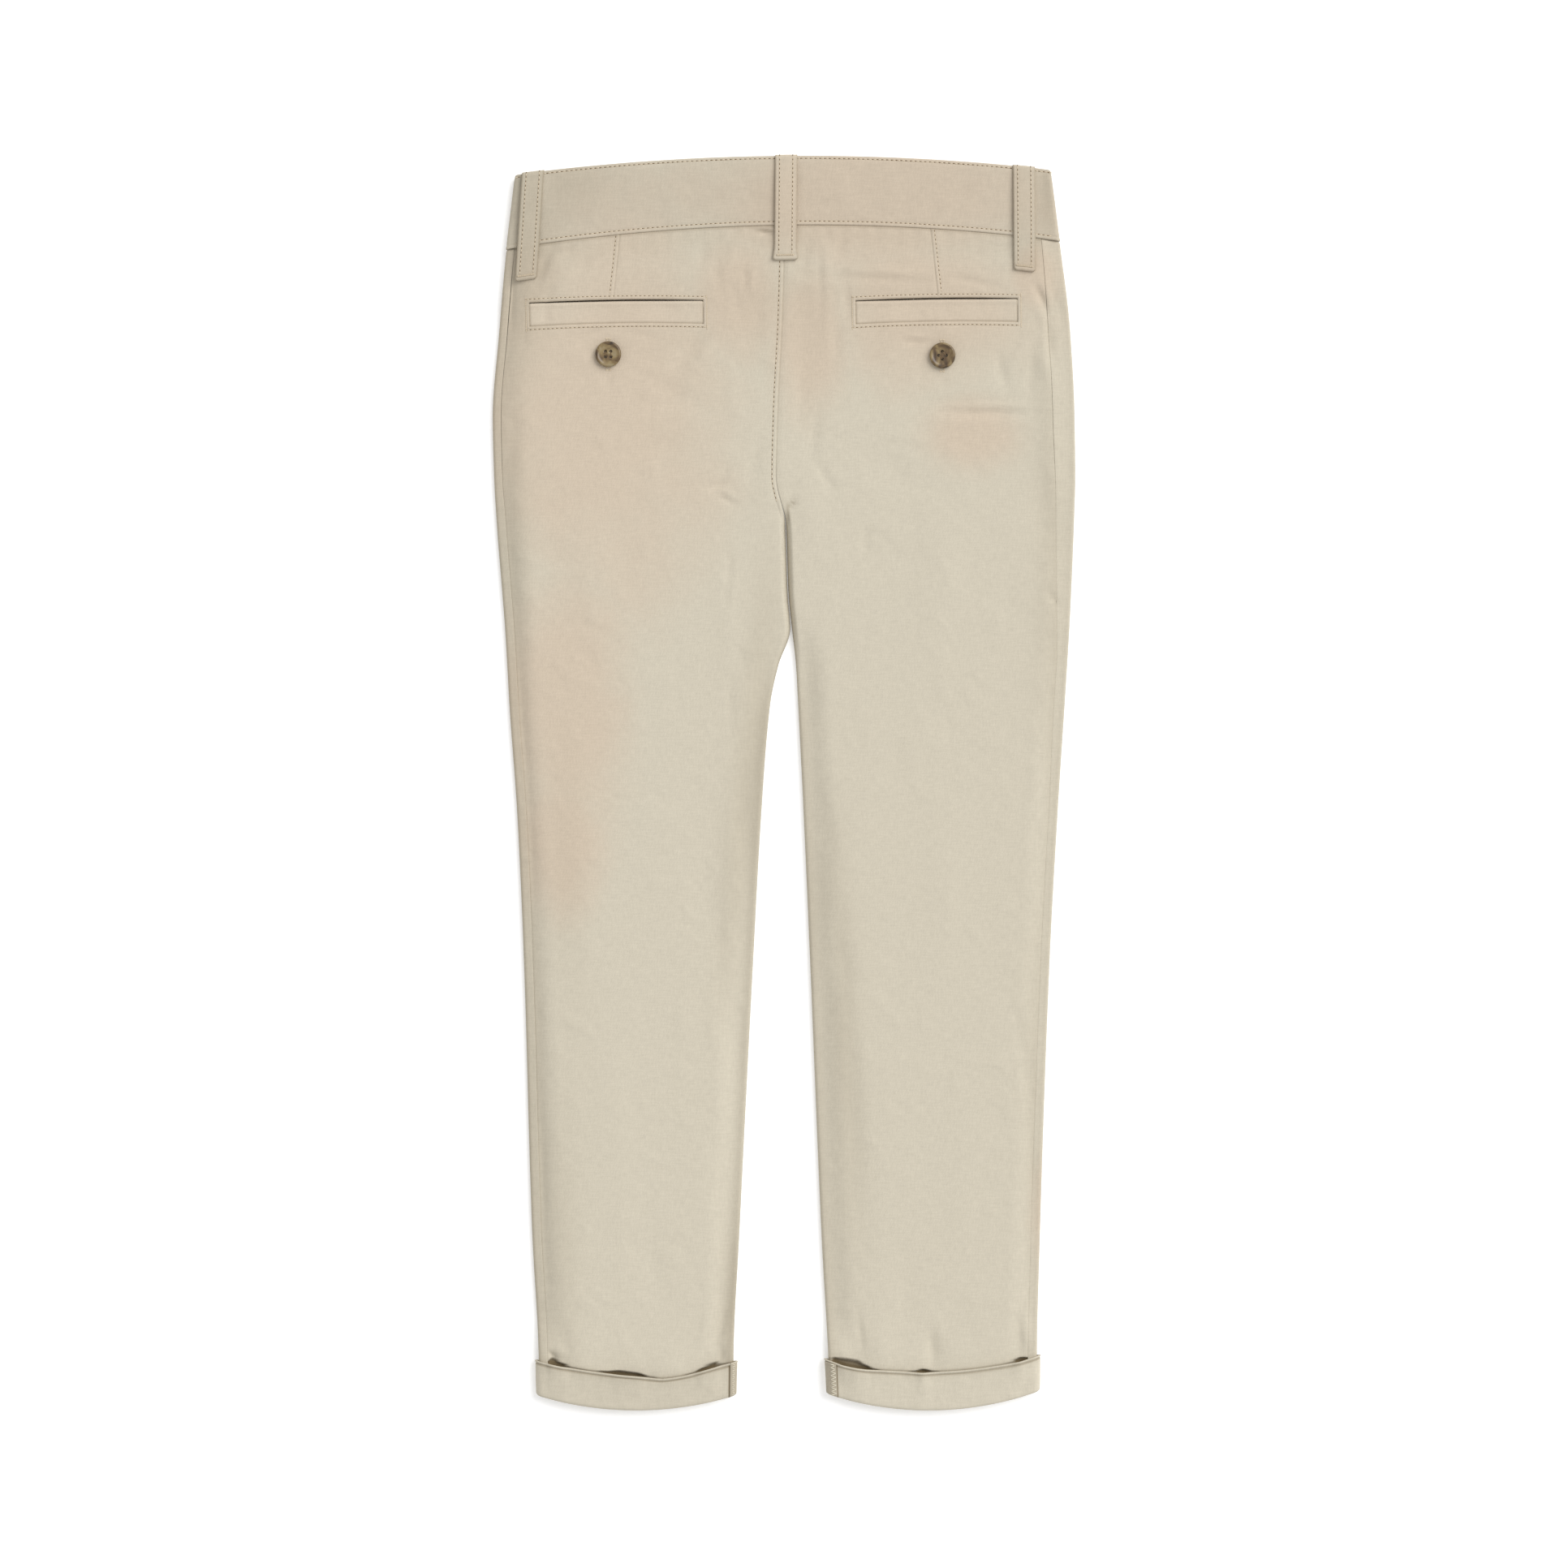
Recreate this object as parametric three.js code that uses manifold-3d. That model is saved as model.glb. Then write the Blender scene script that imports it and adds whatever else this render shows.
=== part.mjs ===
// A child's chino trousers with turned-up cuffs, laid out flat with the back upwards, in millimetres.
// +X is the wearer's right, +Y runs from the hems to the waist and +Z is up. The origin is on the
// surface that they lie on, under the middle of the garment. Each panel is a wall of cloth through
// sections across the garment: "down" is how far a section lies below the waist seam.
import * as THREE from "three";
import { mergeVertices } from "three/addons/utils/BufferGeometryUtils.js";
import Module from "manifold-3d";

const wasm = await Module();
wasm.setup();

// Cloth and seams
const CLOTH = 1.3; // wall of a leg panel
const BAND_CLOTH = 2.0; // waistband: two plies and a stiffener
const CUFF_CLOTH = 1.6; // cuff: the hem's two plies
const LOOP_CLOTH = 1.0; // belt loop
const SEAM = 0.3; // gap between pieces that are sewn together or lie on each other

// Lengths down the garment
const SEAM_LINE_Y = 301.9; // waist seam at the garment's middle
const BAND_HEIGHT = 37.7;
const LEG_LENGTH = 641.4; // waist seam to the fold of the cuff
const CROTCH_DOWN = 161; // waist seam to the end of the seat seam
const SEAT_DIP = 46; // how far above the crotch the seat seam begins to sink between the legs
const HALF_WIDTH = 150; // half of the waist, to which the bow of the waist is referred
const HEM_BOW_LENGTH = 80; // stretch above the fold over which a leg takes on the bow of its hem

// Section of the laid-out garment
const FOLD_RADIUS = 1.8; // of a leg's folded sides
const BAND_FOLD_RADIUS = 2.3;
const EDGE_FLAT = 4; // pressed margin along a folded side
const EDGE_RISE = 12; // width over which the cloth then rises to its full height
const MARGIN = EDGE_FLAT + EDGE_RISE;
const GAP = SEAM / 2; // each piece's share of a seam
const CURL_EDGE = THREE.MathUtils.radToDeg(GAP / FOLD_RADIUS); // where the inner seam parts the curl
const BEYOND = 20; // how far a block that cuts reaches past the cloth
const CUFF_BEAD = (SEAM + CUFF_CLOTH + CLOTH) / 2; // radius of the round fold at the foot of the cuff

// Each leg, row by row: x of the folded outer side, x of the seat seam or folded inner side, and how
// far in from the outer side the side seam lies on the upper face. The cuff's rows give its height
// from its fold to its free edge and how far that edge stands off, by the share of the way out.
const LEGS = {
  left: {
    sign: -1,
    hemBow: 7.5,
    hemTilt: 0,
    rows: [
      { down: -38, outer: -145.6, inner: 0.6, sideSeam: 4.5 },
      { down: 0, outer: -150.5, inner: 0.2, sideSeam: 4.5 },
      { down: 50, outer: -154.7, inner: -1.1, sideSeam: 4.5 },
      { down: 100, outer: -158.0, inner: -3.6, sideSeam: 4.5 },
      { down: 136, outer: -157.2, inner: -4.4, sideSeam: 4.5 },
      { down: 161, outer: -155.8, inner: 0.6, sideSeam: 5 },
      { down: 200, outer: -152.7, inner: 2.0, sideSeam: 5 },
      { down: 218, outer: -151.3, inner: 3.4, sideSeam: 5 },
      { down: 238, outer: -150.1, inner: -3.1, sideSeam: 5 },
      { down: 260, outer: -148.9, inner: -7.6, sideSeam: 5 },
      { down: 320, outer: -144.6, inner: -12.4, sideSeam: 5 },
      { down: 400, outer: -141.0, inner: -16.8, sideSeam: 5 },
      { down: 540, outer: -136.8, inner: -23.9, sideSeam: 5 },
      { down: 610, outer: -133.2, inner: -27.2, sideSeam: 5 },
      { down: 642, outer: -132.4, inner: -27.6, sideSeam: 5 },
    ],
    cuff: [
      { share: 0, height: 19.8, gape: 0.2 },
      { share: 0.2, height: 18.4, gape: 0.4 },
      { share: 0.34, height: 17.0, gape: 0.2 },
      { share: 0.5, height: 19.4, gape: 0.8 },
      { share: 0.7, height: 20.8, gape: 0.4 },
      { share: 0.88, height: 20.5, gape: 1.1 },
      { share: 1, height: 20.4, gape: 0.2 },
    ],
  },
  right: {
    sign: 1,
    hemBow: 9.0,
    hemTilt: 0.8,
    rows: [
      { down: -38, outer: 144.3, inner: 0.9, sideSeam: 9 },
      { down: 0, outer: 149.4, inner: 0.5, sideSeam: 10 },
      { down: 50, outer: 155.2, inner: -0.8, sideSeam: 12 },
      { down: 100, outer: 157.6, inner: -3.3, sideSeam: 12 },
      { down: 136, outer: 158.0, inner: -4.1, sideSeam: 11 },
      { down: 161, outer: 157.3, inner: 1.0, sideSeam: 10 },
      { down: 200, outer: 155.7, inner: 2.5, sideSeam: 8 },
      { down: 218, outer: 154.8, inner: 4.3, sideSeam: 7 },
      { down: 238, outer: 153.6, inner: 6.5, sideSeam: 6 },
      { down: 260, outer: 152.2, inner: 7.7, sideSeam: 6 },
      { down: 320, outer: 148.3, inner: 10.7, sideSeam: 5 },
      { down: 400, outer: 144.0, inner: 14.2, sideSeam: 5 },
      { down: 540, outer: 139.0, inner: 20.0, sideSeam: 5 },
      { down: 610, outer: 137.2, inner: 23.6, sideSeam: 5 },
      { down: 642, outer: 136.8, inner: 24.8, sideSeam: 5 },
    ],
    cuff: [
      { share: 0, height: 20.6, gape: 0.4 },
      { share: 0.16, height: 20.4, gape: 1.2 },
      { share: 0.28, height: 20.6, gape: 0.2 },
      { share: 0.46, height: 21.2, gape: 0.9 },
      { share: 0.7, height: 21.3, gape: 0.2 },
      { share: 0.9, height: 21.4, gape: 0.7 },
      { share: 1, height: 21.4, gape: 0.2 },
    ],
  },
};

// How the waist bows: its ends lie lower than its middle, and the left end lower than the right.
const WAIST_BOW = [
  { down: -38, bow: 9.4, tilt: 1.3 },
  { down: 0, bow: 10.7, tilt: 2.2 },
  { down: 150, bow: 0, tilt: 0 },
];

// Height of the underside and of the upper face, down the garment. The waist lies on the front belt
// loops and the button, and each leg's end lies on the under side of its own cuff.
const LEVELS = [
  { down: -38, lift: 1.3, crown: 7.6 },
  { down: 22, lift: 1.3, crown: 7.3 },
  { down: 50, lift: 0, crown: 6.5 },
  { down: 590, lift: 0, crown: 6.3 },
  { down: 616, lift: 1.9, crown: 6.6 },
  { down: 642, lift: 1.9, crown: 6.6 },
];

// The largest soft folds of the upper face: the middle of each, its direction from the +X axis, its
// half length and half width, and its height, below zero for a trough.
const FOLDS = [
  { x: 11, y: 235, turn: 91, half: 62, width: 7, height: -0.5 },
  { x: 21, y: 262, turn: 94, half: 42, width: 5, height: 0.5 },
  { x: -20, y: 245, turn: 84, half: 34, width: 6, height: -0.4 },
  { x: -9, y: 160, turn: 80, half: 34, width: 7, height: 0.5 },
  { x: 14, y: 150, turn: 98, half: 40, width: 8, height: 0.5 },
  { x: 100, y: 204, turn: 0, half: 46, width: 5, height: -0.5 },
  { x: -70, y: 206, turn: 3, half: 40, width: 6, height: -0.4 },
  { x: -88, y: 232, turn: -4, half: 34, width: 7, height: -0.4 },
  { x: 88, y: 232, turn: 4, half: 34, width: 7, height: -0.4 },
  { x: -30, y: 80, turn: 92, half: 52, width: 6, height: 0.4 },
  { x: 38, y: -230, turn: 91, half: 95, width: 10, height: -0.6 },
  { x: -40, y: -60, turn: 93, half: 120, width: 11, height: -0.4 },
  { x: -122, y: -308, turn: 104, half: 20, width: 6, height: -1.0 },
  { x: -37, y: -304, turn: 76, half: 24, width: 5, height: -1.0 },
  { x: -60, y: -318, turn: 90, half: 20, width: 9, height: 0.7 },
  { x: 36, y: -304, turn: 104, half: 22, width: 6, height: -1.0 },
  { x: 53, y: -306, turn: 92, half: 24, width: 7, height: 0.7 },
  { x: 81, y: -310, turn: 88, half: 20, width: 6, height: -0.8 },
  { x: 126, y: -305, turn: 84, half: 18, width: 5, height: -0.8 },
];

// Belt loops: a strap's width, how far it reaches below the waist seam, the room that it leaves for
// a belt, and the x of its top and of its foot.
const LOOP = { width: 11.5, below: 18.5, belt: 0.9 };
const BACK_LOOPS = [
  { name: "loop_back_centre", top: 1.2, foot: 0.7 },
  { name: "loop_back_left", top: -135.8, foot: -140.0 },
  { name: "loop_back_right", top: 129.8, foot: 130.2 },
];
const FRONT_LOOPS = [
  { name: "loop_front_left", top: -72, foot: -73 },
  { name: "loop_front_right", top: 72, foot: 73 },
];

// Back pockets: the middle of each welt, its length and its slope, and the middle of its button
const POCKETS = {
  left: { x: -90.8, y: 254.6, width: 95, slope: 1.2, buttonX: -95.1, buttonY: 232.1 },
  right: { x: 82.6, y: 255.6, width: 89, slope: 0.9, buttonX: 85.7, buttonY: 231.4 },
};
const POCKET_HEIGHT = 12.6;
const POCKET_MOUTH = 0.9; // open slit above the welt
const WELT_SINK = 0.3; // how far the welt's face lies below the panel's

// Darts above the back pockets: a groove along the seam that takes the fullness in
const DARTS = {
  left: { topX: -88.9, footX: -92.2 },
  right: { topX: 79.3, footX: 83.1 },
};
const DART = { footY: 265.5, width: 0.7, depth: 0.5 };

// The slanted front pocket runs from this far in along the waist seam to near the side seam below.
const SLANT = { inward: 42, footInward: 12, down: 132 };

// Buttons: the chamfer is that of both rims, and each hole lies at the spread from the middle. The
// waist button is that far above the waist seam, and dents the band within its reach.
const BUTTON = { radius: 7, thickness: 2.4, rim: 1.1, dish: 0.5, chamfer: 0.8, sides: 24 };
const BUTTON_HOLES = { radius: 0.85, spread: 2.05, sides: 8 };
const WAIST_BUTTON = { x: -9.6, up: 19, reach: 8.5, ease: 8 };

// The colours and finishes of the cloth and the buttons
const twill = new THREE.MeshStandardMaterial({ color: 0xd3c9b5, roughness: 0.92, metalness: 0 });
const horn = new THREE.MeshStandardMaterial({ color: 0x8a7656, roughness: 0.35, metalness: 0 });

const radians = THREE.MathUtils.degToRad;

// 0 below 0, 1 above 1, and an even curve between.
function ease(t) {
  const share = Math.min(1, Math.max(0, t));
  return share * share * (3 - 2 * share);
}

// The value of one column of a table at a place between its rows, eased from row to row.
function eased(rows, key, at, column) {
  const next = rows.findIndex((row) => row[key] > at);
  if (next === 0) return rows[0][column];
  if (next < 0) return rows[rows.length - 1][column];
  const [a, b] = [rows[next - 1], rows[next]];
  return a[column] + (b[column] - a[column]) * ease((at - a[key]) / (b[key] - a[key]));
}

// The value of one column on a smooth curve through all rows, which never overshoots them.
function curved(rows, key, at, column) {
  const last = rows.length - 1;
  const above = rows.findIndex((row) => row[key] > at);
  const i = above < 0 ? last - 1 : Math.max(0, above - 1);
  const rise = (n) => (rows[n + 1][column] - rows[n][column]) / (rows[n + 1][key] - rows[n][key]);
  const slope = (n) => {
    if (n === 0) return rise(0);
    if (n === last) return rise(last - 1);
    const [before, after] = [rise(n - 1), rise(n)];
    return before * after > 0 ? (2 * before * after) / (before + after) : 0;
  };
  const [a, b] = [rows[i], rows[i + 1]];
  const span = b[key] - a[key];
  const t = (at - a[key]) / span;
  const start = (1 + 2 * t) * (1 - t) ** 2 * a[column] + t * (1 - t) ** 2 * span * slope(i);
  const end = t * t * (3 - 2 * t) * b[column] + t * t * (t - 1) * span * slope(i + 1);
  return start + end;
}

const outerAt = (leg, down) => curved(leg.rows, "down", down, "outer");
const innerAt = (leg, down) => curved(leg.rows, "down", down, "inner");
const widthAt = (leg, down) => Math.abs(outerAt(leg, down) - innerAt(leg, down));
const sideSeamAt = (leg, down) => curved(leg.rows, "down", down, "sideSeam");
const liftAt = (down) => eased(LEVELS, "down", down, "lift");
const radiusAt = (down) => (down < 0 ? BAND_FOLD_RADIUS : FOLD_RADIUS);

// The y of a section at x: level at its middle, bowed near the waist and near the hem.
function sectionY(leg, down, x) {
  const bow = eased(WAIST_BOW, "down", down, "bow");
  const tilt = eased(WAIST_BOW, "down", down, "tilt");
  const across = (x - (outerAt(leg, down) + innerAt(leg, down)) / 2) / (widthAt(leg, down) / 2);
  const hem = ease((down - LEG_LENGTH + HEM_BOW_LENGTH) / HEM_BOW_LENGTH);
  const hemLift = hem * (leg.hemBow * across * across + leg.hemTilt * across);
  return SEAM_LINE_Y - down - bow * (x / HALF_WIDTH) ** 2 + (tilt * x) / HALF_WIDTH + hemLift;
}

// How far down the garment the point (x, y) lies.
function downAt(leg, x, y) {
  let down = SEAM_LINE_Y - y;
  for (let step = 0; step < 12; step++) down += sectionY(leg, down, x) - y;
  return down;
}

// The soft folds' height at a point of the upper face.
function foldHeight(x, y) {
  return FOLDS.reduce((sum, fold) => {
    const turn = radians(fold.turn);
    const along = (x - fold.x) * Math.cos(turn) + (y - fold.y) * Math.sin(turn);
    const across = (y - fold.y) * Math.cos(turn) - (x - fold.x) * Math.sin(turn);
    const length = 1 - ease(Math.abs(along) / fold.half);
    return sum + fold.height * length * Math.exp(-((across / fold.width) ** 2));
  }, 0);
}

// 0 where the two halves lie side by side at the seat, 1 where each leg has a folded inner side.
const legShare = (down) => ease((down - CROTCH_DOWN + SEAT_DIP) / SEAT_DIP);

// How far the round of a leg's inner side has risen, at a distance in from that side.
function innerRound(fromInner) {
  const short = Math.max(0, FOLD_RADIUS - fromInner);
  return Math.sqrt(FOLD_RADIUS ** 2 - short ** 2);
}

// Height of the upper face at x in a section.
function topZ(leg, down, x) {
  const fromInner = Math.max(0, (x - innerAt(leg, down)) * leg.sign);
  const fromOuter = (outerAt(leg, down) - x) * leg.sign;
  const edge = liftAt(down) + 2 * radiusAt(down);
  const crown = eased(LEVELS, "down", down, "crown") + foldHeight(x, sectionY(leg, down, x));
  const fullness = (crown - edge) * ease((fromOuter - EDGE_FLAT) / EDGE_RISE);
  const innerRise = ease((fromInner - EDGE_FLAT) / EDGE_RISE);
  const seat = edge + fullness;
  const inLeg = edge - FOLD_RADIUS + innerRound(fromInner) + fullness * innerRise;
  return seat + (inLeg - seat) * legShare(down);
}

const waistButtonY = () => sectionY(LEGS.left, -WAIST_BUTTON.up, WAIST_BUTTON.x);

// Height of the underside, which curls up at a leg's inner side and lies over the waist button.
function underZ(leg, down, x) {
  const fromInner = Math.max(0, (x - innerAt(leg, down)) * leg.sign);
  const curl = (FOLD_RADIUS - innerRound(fromInner)) * legShare(down);
  const away = Math.hypot(x - WAIST_BUTTON.x, sectionY(leg, down, x) - waistButtonY());
  const onButton = 1 - ease((away - WAIST_BUTTON.reach) / WAIST_BUTTON.ease);
  return liftAt(down) + curl + (BUTTON.thickness + SEAM - liftAt(down)) * onButton;
}

// A place: a point on the garment's outside, and the direction out of the cloth there, which stays
// within the bowed section.
function placeAt(leg, down, x, z, outX, outZ) {
  const bend = sectionY(leg, down, x + 0.5) - sectionY(leg, down, x - 0.5);
  const point = new THREE.Vector3(x, sectionY(leg, down, x), z);
  return { point, out: new THREE.Vector3(outX, outX * bend, outZ) };
}

// A place round the outer fold: 90 is its top, 180 its outermost line and 270 its bottom.
function placeOnFold(leg, down, angle) {
  const radius = radiusAt(down);
  const [outX, outZ] = [-leg.sign * Math.cos(radians(angle)), Math.sin(radians(angle))];
  const x = outerAt(leg, down) - leg.sign * radius + radius * outX;
  return placeAt(leg, down, x, liftAt(down) + radius * (1 + outZ), outX, outZ);
}

// A place on the curl of a leg's inner side: 0 is at its edge, 90 where the curl ends. In the seat
// the two halves lie side by side and nothing curls.
function placeOnCurl(leg, down, angle, under) {
  const x = innerAt(leg, down) + leg.sign * FOLD_RADIUS * (1 - Math.cos(radians(angle)));
  const turned = Math.min(1, (90 - angle) / (90 - CURL_EDGE));
  const lean = (Math.PI / 2) * turned * legShare(down);
  const outX = -leg.sign * Math.sin(lean);
  if (under) return placeAt(leg, down, x, underZ(leg, down, x), outX, -Math.cos(lean));
  return placeAt(leg, down, x, topZ(leg, down, x), outX, Math.cos(lean));
}

// A place on the upper face or the underside, given by its distance from the inner or the outer side
// or by its share of the way between the two margins.
function placeOnFace(leg, down, { share = 0, fromInner, fromOuter, under }) {
  const width = widthAt(leg, down);
  const between = MARGIN + share * (width - 2 * MARGIN);
  const inward = fromOuter === undefined ? (fromInner ?? between) : width - fromOuter;
  const x = innerAt(leg, down) + leg.sign * inward;
  if (under) return placeAt(leg, down, x, underZ(leg, down, x), 0, -1);
  const slope = topZ(leg, down, x + 0.5) - topZ(leg, down, x - 0.5);
  const tilt = Math.atan(slope);
  return placeAt(leg, down, x, topZ(leg, down, x), -Math.sin(tilt), Math.cos(tilt));
}

function place(leg, down, column) {
  if (column.fold !== undefined) return placeOnFold(leg, down, column.fold);
  if (column.curl !== undefined) return placeOnCurl(leg, down, column.curl, column.under);
  return placeOnFace(leg, down, column);
}

// The upper face's height above the point (x, y).
function topAt(x, y) {
  const leg = x < 0 ? LEGS.left : LEGS.right;
  return topZ(leg, downAt(leg, x, y), x);
}

const facingUp = (x, y, z) => ({ point: new THREE.Vector3(x, y, z), out: new THREE.Vector3(0, 0, 1) });

// A closed geometry from points and triangles, turned so that its faces point out.
function closedGeometry(points, triangles) {
  const cross = new THREE.Vector3();
  const volume = triangles.reduce((sum, [a, b, c]) => {
    return sum + points[a].dot(cross.crossVectors(points[b], points[c]));
  }, 0);
  const index = triangles.flatMap(([a, b, c]) => (volume > 0 ? [a, b, c] : [a, c, b]));
  return new THREE.BufferGeometry().setFromPoints(points).setIndex(index);
}

// A wall of cloth: a grid of places on its outside, given thickness inwards.
function clothWall(grid, thickness) {
  const [rows, columns] = [grid.length, grid[0].length];
  const outside = grid.flat().map(({ point }) => point);
  const inside = grid.flat().map(({ point, out }) => point.clone().addScaledVector(out, -thickness));
  const back = rows * columns;
  const triangles = [];
  const quad = (a, b, c, d) => triangles.push([a, b, c], [a, c, d]);
  for (let r = 0; r + 1 < rows; r++)
    for (let c = 0; c + 1 < columns; c++) {
      const p = r * columns + c;
      quad(p, p + 1, p + columns + 1, p + columns);
      triangles.push([back + p, back + p + columns + 1, back + p + 1]);
      triangles.push([back + p, back + p + columns, back + p + columns + 1]);
    }
  for (let c = 0; c + 1 < columns; c++) {
    const [first, last] = [c, (rows - 1) * columns + c];
    quad(first + 1, first, back + first, back + first + 1);
    quad(last, last + 1, back + last + 1, back + last);
  }
  for (let r = 0; r + 1 < rows; r++) {
    const [first, last] = [r * columns, (r + 1) * columns - 1];
    quad(first, first + columns, back + first + columns, back + first);
    quad(last + columns, last, back + last, back + last + columns);
  }
  return closedGeometry([...outside, ...inside], triangles);
}

// A ring of cloth: each section has the same closed outline, and the last one joins the first.
function closedRing(sections) {
  const [count, size] = [sections.length, sections[0].length];
  const triangles = [];
  for (let s = 0; s < count; s++)
    for (let k = 0; k < size; k++) {
      const [next, after] = [((s + 1) % count) * size, (k + 1) % size];
      triangles.push([s * size + k, next + k, next + after]);
      triangles.push([s * size + k, next + after, s * size + after]);
    }
  return closedGeometry(sections.flat(), triangles);
}

function solidOf(geometry) {
  const bare = geometry.clone();
  bare.deleteAttribute("normal");
  bare.deleteAttribute("uv");
  const merged = mergeVertices(bare, 1e-4);
  const vertProperties = new Float32Array(merged.attributes.position.array);
  const triVerts = new Uint32Array(merged.index.array);
  return new wasm.Manifold(new wasm.Mesh({ numProp: 3, vertProperties, triVerts }));
}

function geometryOf(solid) {
  const mesh = solid.getMesh();
  return new THREE.BufferGeometry()
    .setAttribute("position", new THREE.BufferAttribute(mesh.vertProperties, 3))
    .setIndex(new THREE.BufferAttribute(mesh.triVerts, 1));
}

function piece(name, geometry, material = twill) {
  const mesh = new THREE.Mesh(geometry, material);
  mesh.name = name;
  return mesh;
}

// Numbers from first to last, with at most the given step between them.
function spaced(first, last, step) {
  const count = Math.ceil(Math.abs(last - first) / step);
  return Array.from({ length: count + 1 }, (_, i) => first + ((last - first) * i) / count);
}

const marked = (key, values, more) => values.map((value) => ({ [key]: value, ...more }));
const CURL = marked("curl", [CURL_EDGE, 32, 60, 90]);
const UNDER_CURL = marked("curl", [90, 60, 32, CURL_EDGE], { under: true });
const OUTER_FOLD = marked("fold", [90, 125, 160, 200, 235, 270]);

// Rows of a leg panel: closer where the seat sinks to the crotch, where the legs part and at the cuff.
const PANEL_ROWS = [
  ...spaced(SEAM, 100, 16),
  ...spaced(112, 172, 12),
  ...spaced(190, 260, 14),
  ...spaced(290, 560, 34),
  ...spaced(582, 622, 10),
  LEG_LENGTH - CUFF_BEAD - SEAM,
];

// The box that cuts a back pocket's opening through the panel.
function pocketWindow(pocket) {
  const window = new THREE.BoxGeometry(pocket.width, POCKET_HEIGHT, BEYOND);
  window.rotateZ(radians(pocket.slope));
  window.translate(pocket.x, pocket.y, CLOTH + SEAM + BEYOND / 2);
  return solidOf(window);
}

// The blade that sinks a dart's groove into the upper face. It reaches a cloth's thickness past it.
function dartGroove(side) {
  const dart = DARTS[side];
  const topY = sectionY(LEGS[side], 0, dart.topX) + CLOTH;
  const grid = spaced(0, 1, 0.25).map((t) =>
    [-0.5, 0.5].map((half) => {
      const x = dart.topX + (dart.footX - dart.topX) * t + half * DART.width;
      const y = topY + (DART.footY - topY) * t;
      return facingUp(x, y, topAt(x, y) + CLOTH);
    }),
  );
  return solidOf(clothWall(grid, CLOTH + DART.depth));
}

function backPanel(side) {
  const leg = LEGS[side];
  const grid = PANEL_ROWS.map((down) => {
    const seam = sideSeamAt(leg, down) + GAP;
    const columns = [
      ...CURL,
      ...marked("fromInner", [4, 8, 12]),
      ...marked("share", [0, 0.2, 0.4, 0.6, 0.8, 1]),
      ...marked("fromOuter", [seam + (MARGIN - seam) * 0.6, seam + (MARGIN - seam) * 0.25, seam]),
    ];
    return columns.map((column) => place(leg, down, column));
  });
  const sheet = solidOf(clothWall(grid, CLOTH));
  const cut = sheet.subtract(pocketWindow(POCKETS[side])).subtract(dartGroove(side));
  return piece("back_" + side, geometryOf(cut));
}

// The whole front of a leg: from the side seam over the outer fold and along the underside.
function wholeFront(leg) {
  const grid = PANEL_ROWS.map((down) => {
    const seam = sideSeamAt(leg, down) - GAP;
    const columns = [
      ...marked("fromOuter", [seam, (seam + FOLD_RADIUS) / 2]),
      ...OUTER_FOLD,
      ...marked("share", [1, 0.7, 0.35], { under: true }),
      ...UNDER_CURL,
    ];
    return columns.map((column) => place(leg, down, column));
  });
  return solidOf(clothWall(grid, CLOTH));
}

// The block that parts the corner of the slanted front pocket from the rest of the front.
function pocketCorner(leg, grow) {
  const x = (down, inward) => outerAt(leg, down) - leg.sign * inward;
  const [topX, footX] = [x(0, SLANT.inward + grow), x(SLANT.down, SLANT.footInward + grow)];
  const [topY, footY] = [sectionY(leg, 0, topX) + BEYOND, sectionY(leg, SLANT.down, footX) - grow];
  const beyondX = x(SLANT.down, -BEYOND);
  const outline = [[beyondX, topY], [topX, topY], [footX, footY], [beyondX, footY]];
  const corner = new THREE.Shape(outline.map(([px, py]) => new THREE.Vector2(px, py)));
  const block = new THREE.ExtrudeGeometry(corner, { depth: 2 * BEYOND, bevelEnabled: false });
  return solidOf(block.translate(0, 0, -BEYOND));
}

function frontPanel(side) {
  const leg = LEGS[side];
  return piece("front_" + side, geometryOf(wholeFront(leg).subtract(pocketCorner(leg, SEAM))));
}

// The facing behind the slanted pocket mouth: from the side seam, over the fold, to the slant.
function pocketFacing(side) {
  const leg = LEGS[side];
  return piece("pocket_facing_" + side, geometryOf(wholeFront(leg).intersect(pocketCorner(leg, 0))));
}

// Half of the waistband, from the middle of the back round the side to the middle of the front.
function waistband(side) {
  const leg = LEGS[side];
  const columns = [
    ...marked("fromInner", [0, 10]),
    ...marked("share", [0.2, 0.45, 0.7]),
    ...marked("fromOuter", [16, 12, 8, 4]),
    ...OUTER_FOLD,
    ...marked("share", [1, 0.65, 0.3], { under: true }),
    ...marked("fromInner", [24, 19, 14, 9, 4, 0], { under: true }),
  ];
  const rows = spaced(-BAND_HEIGHT, -GAP, 6.4);
  const grid = rows.map((down) => columns.map((column) => place(leg, down, column)));
  return piece("waistband_" + side, clothWall(grid, BAND_CLOTH));
}

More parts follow.
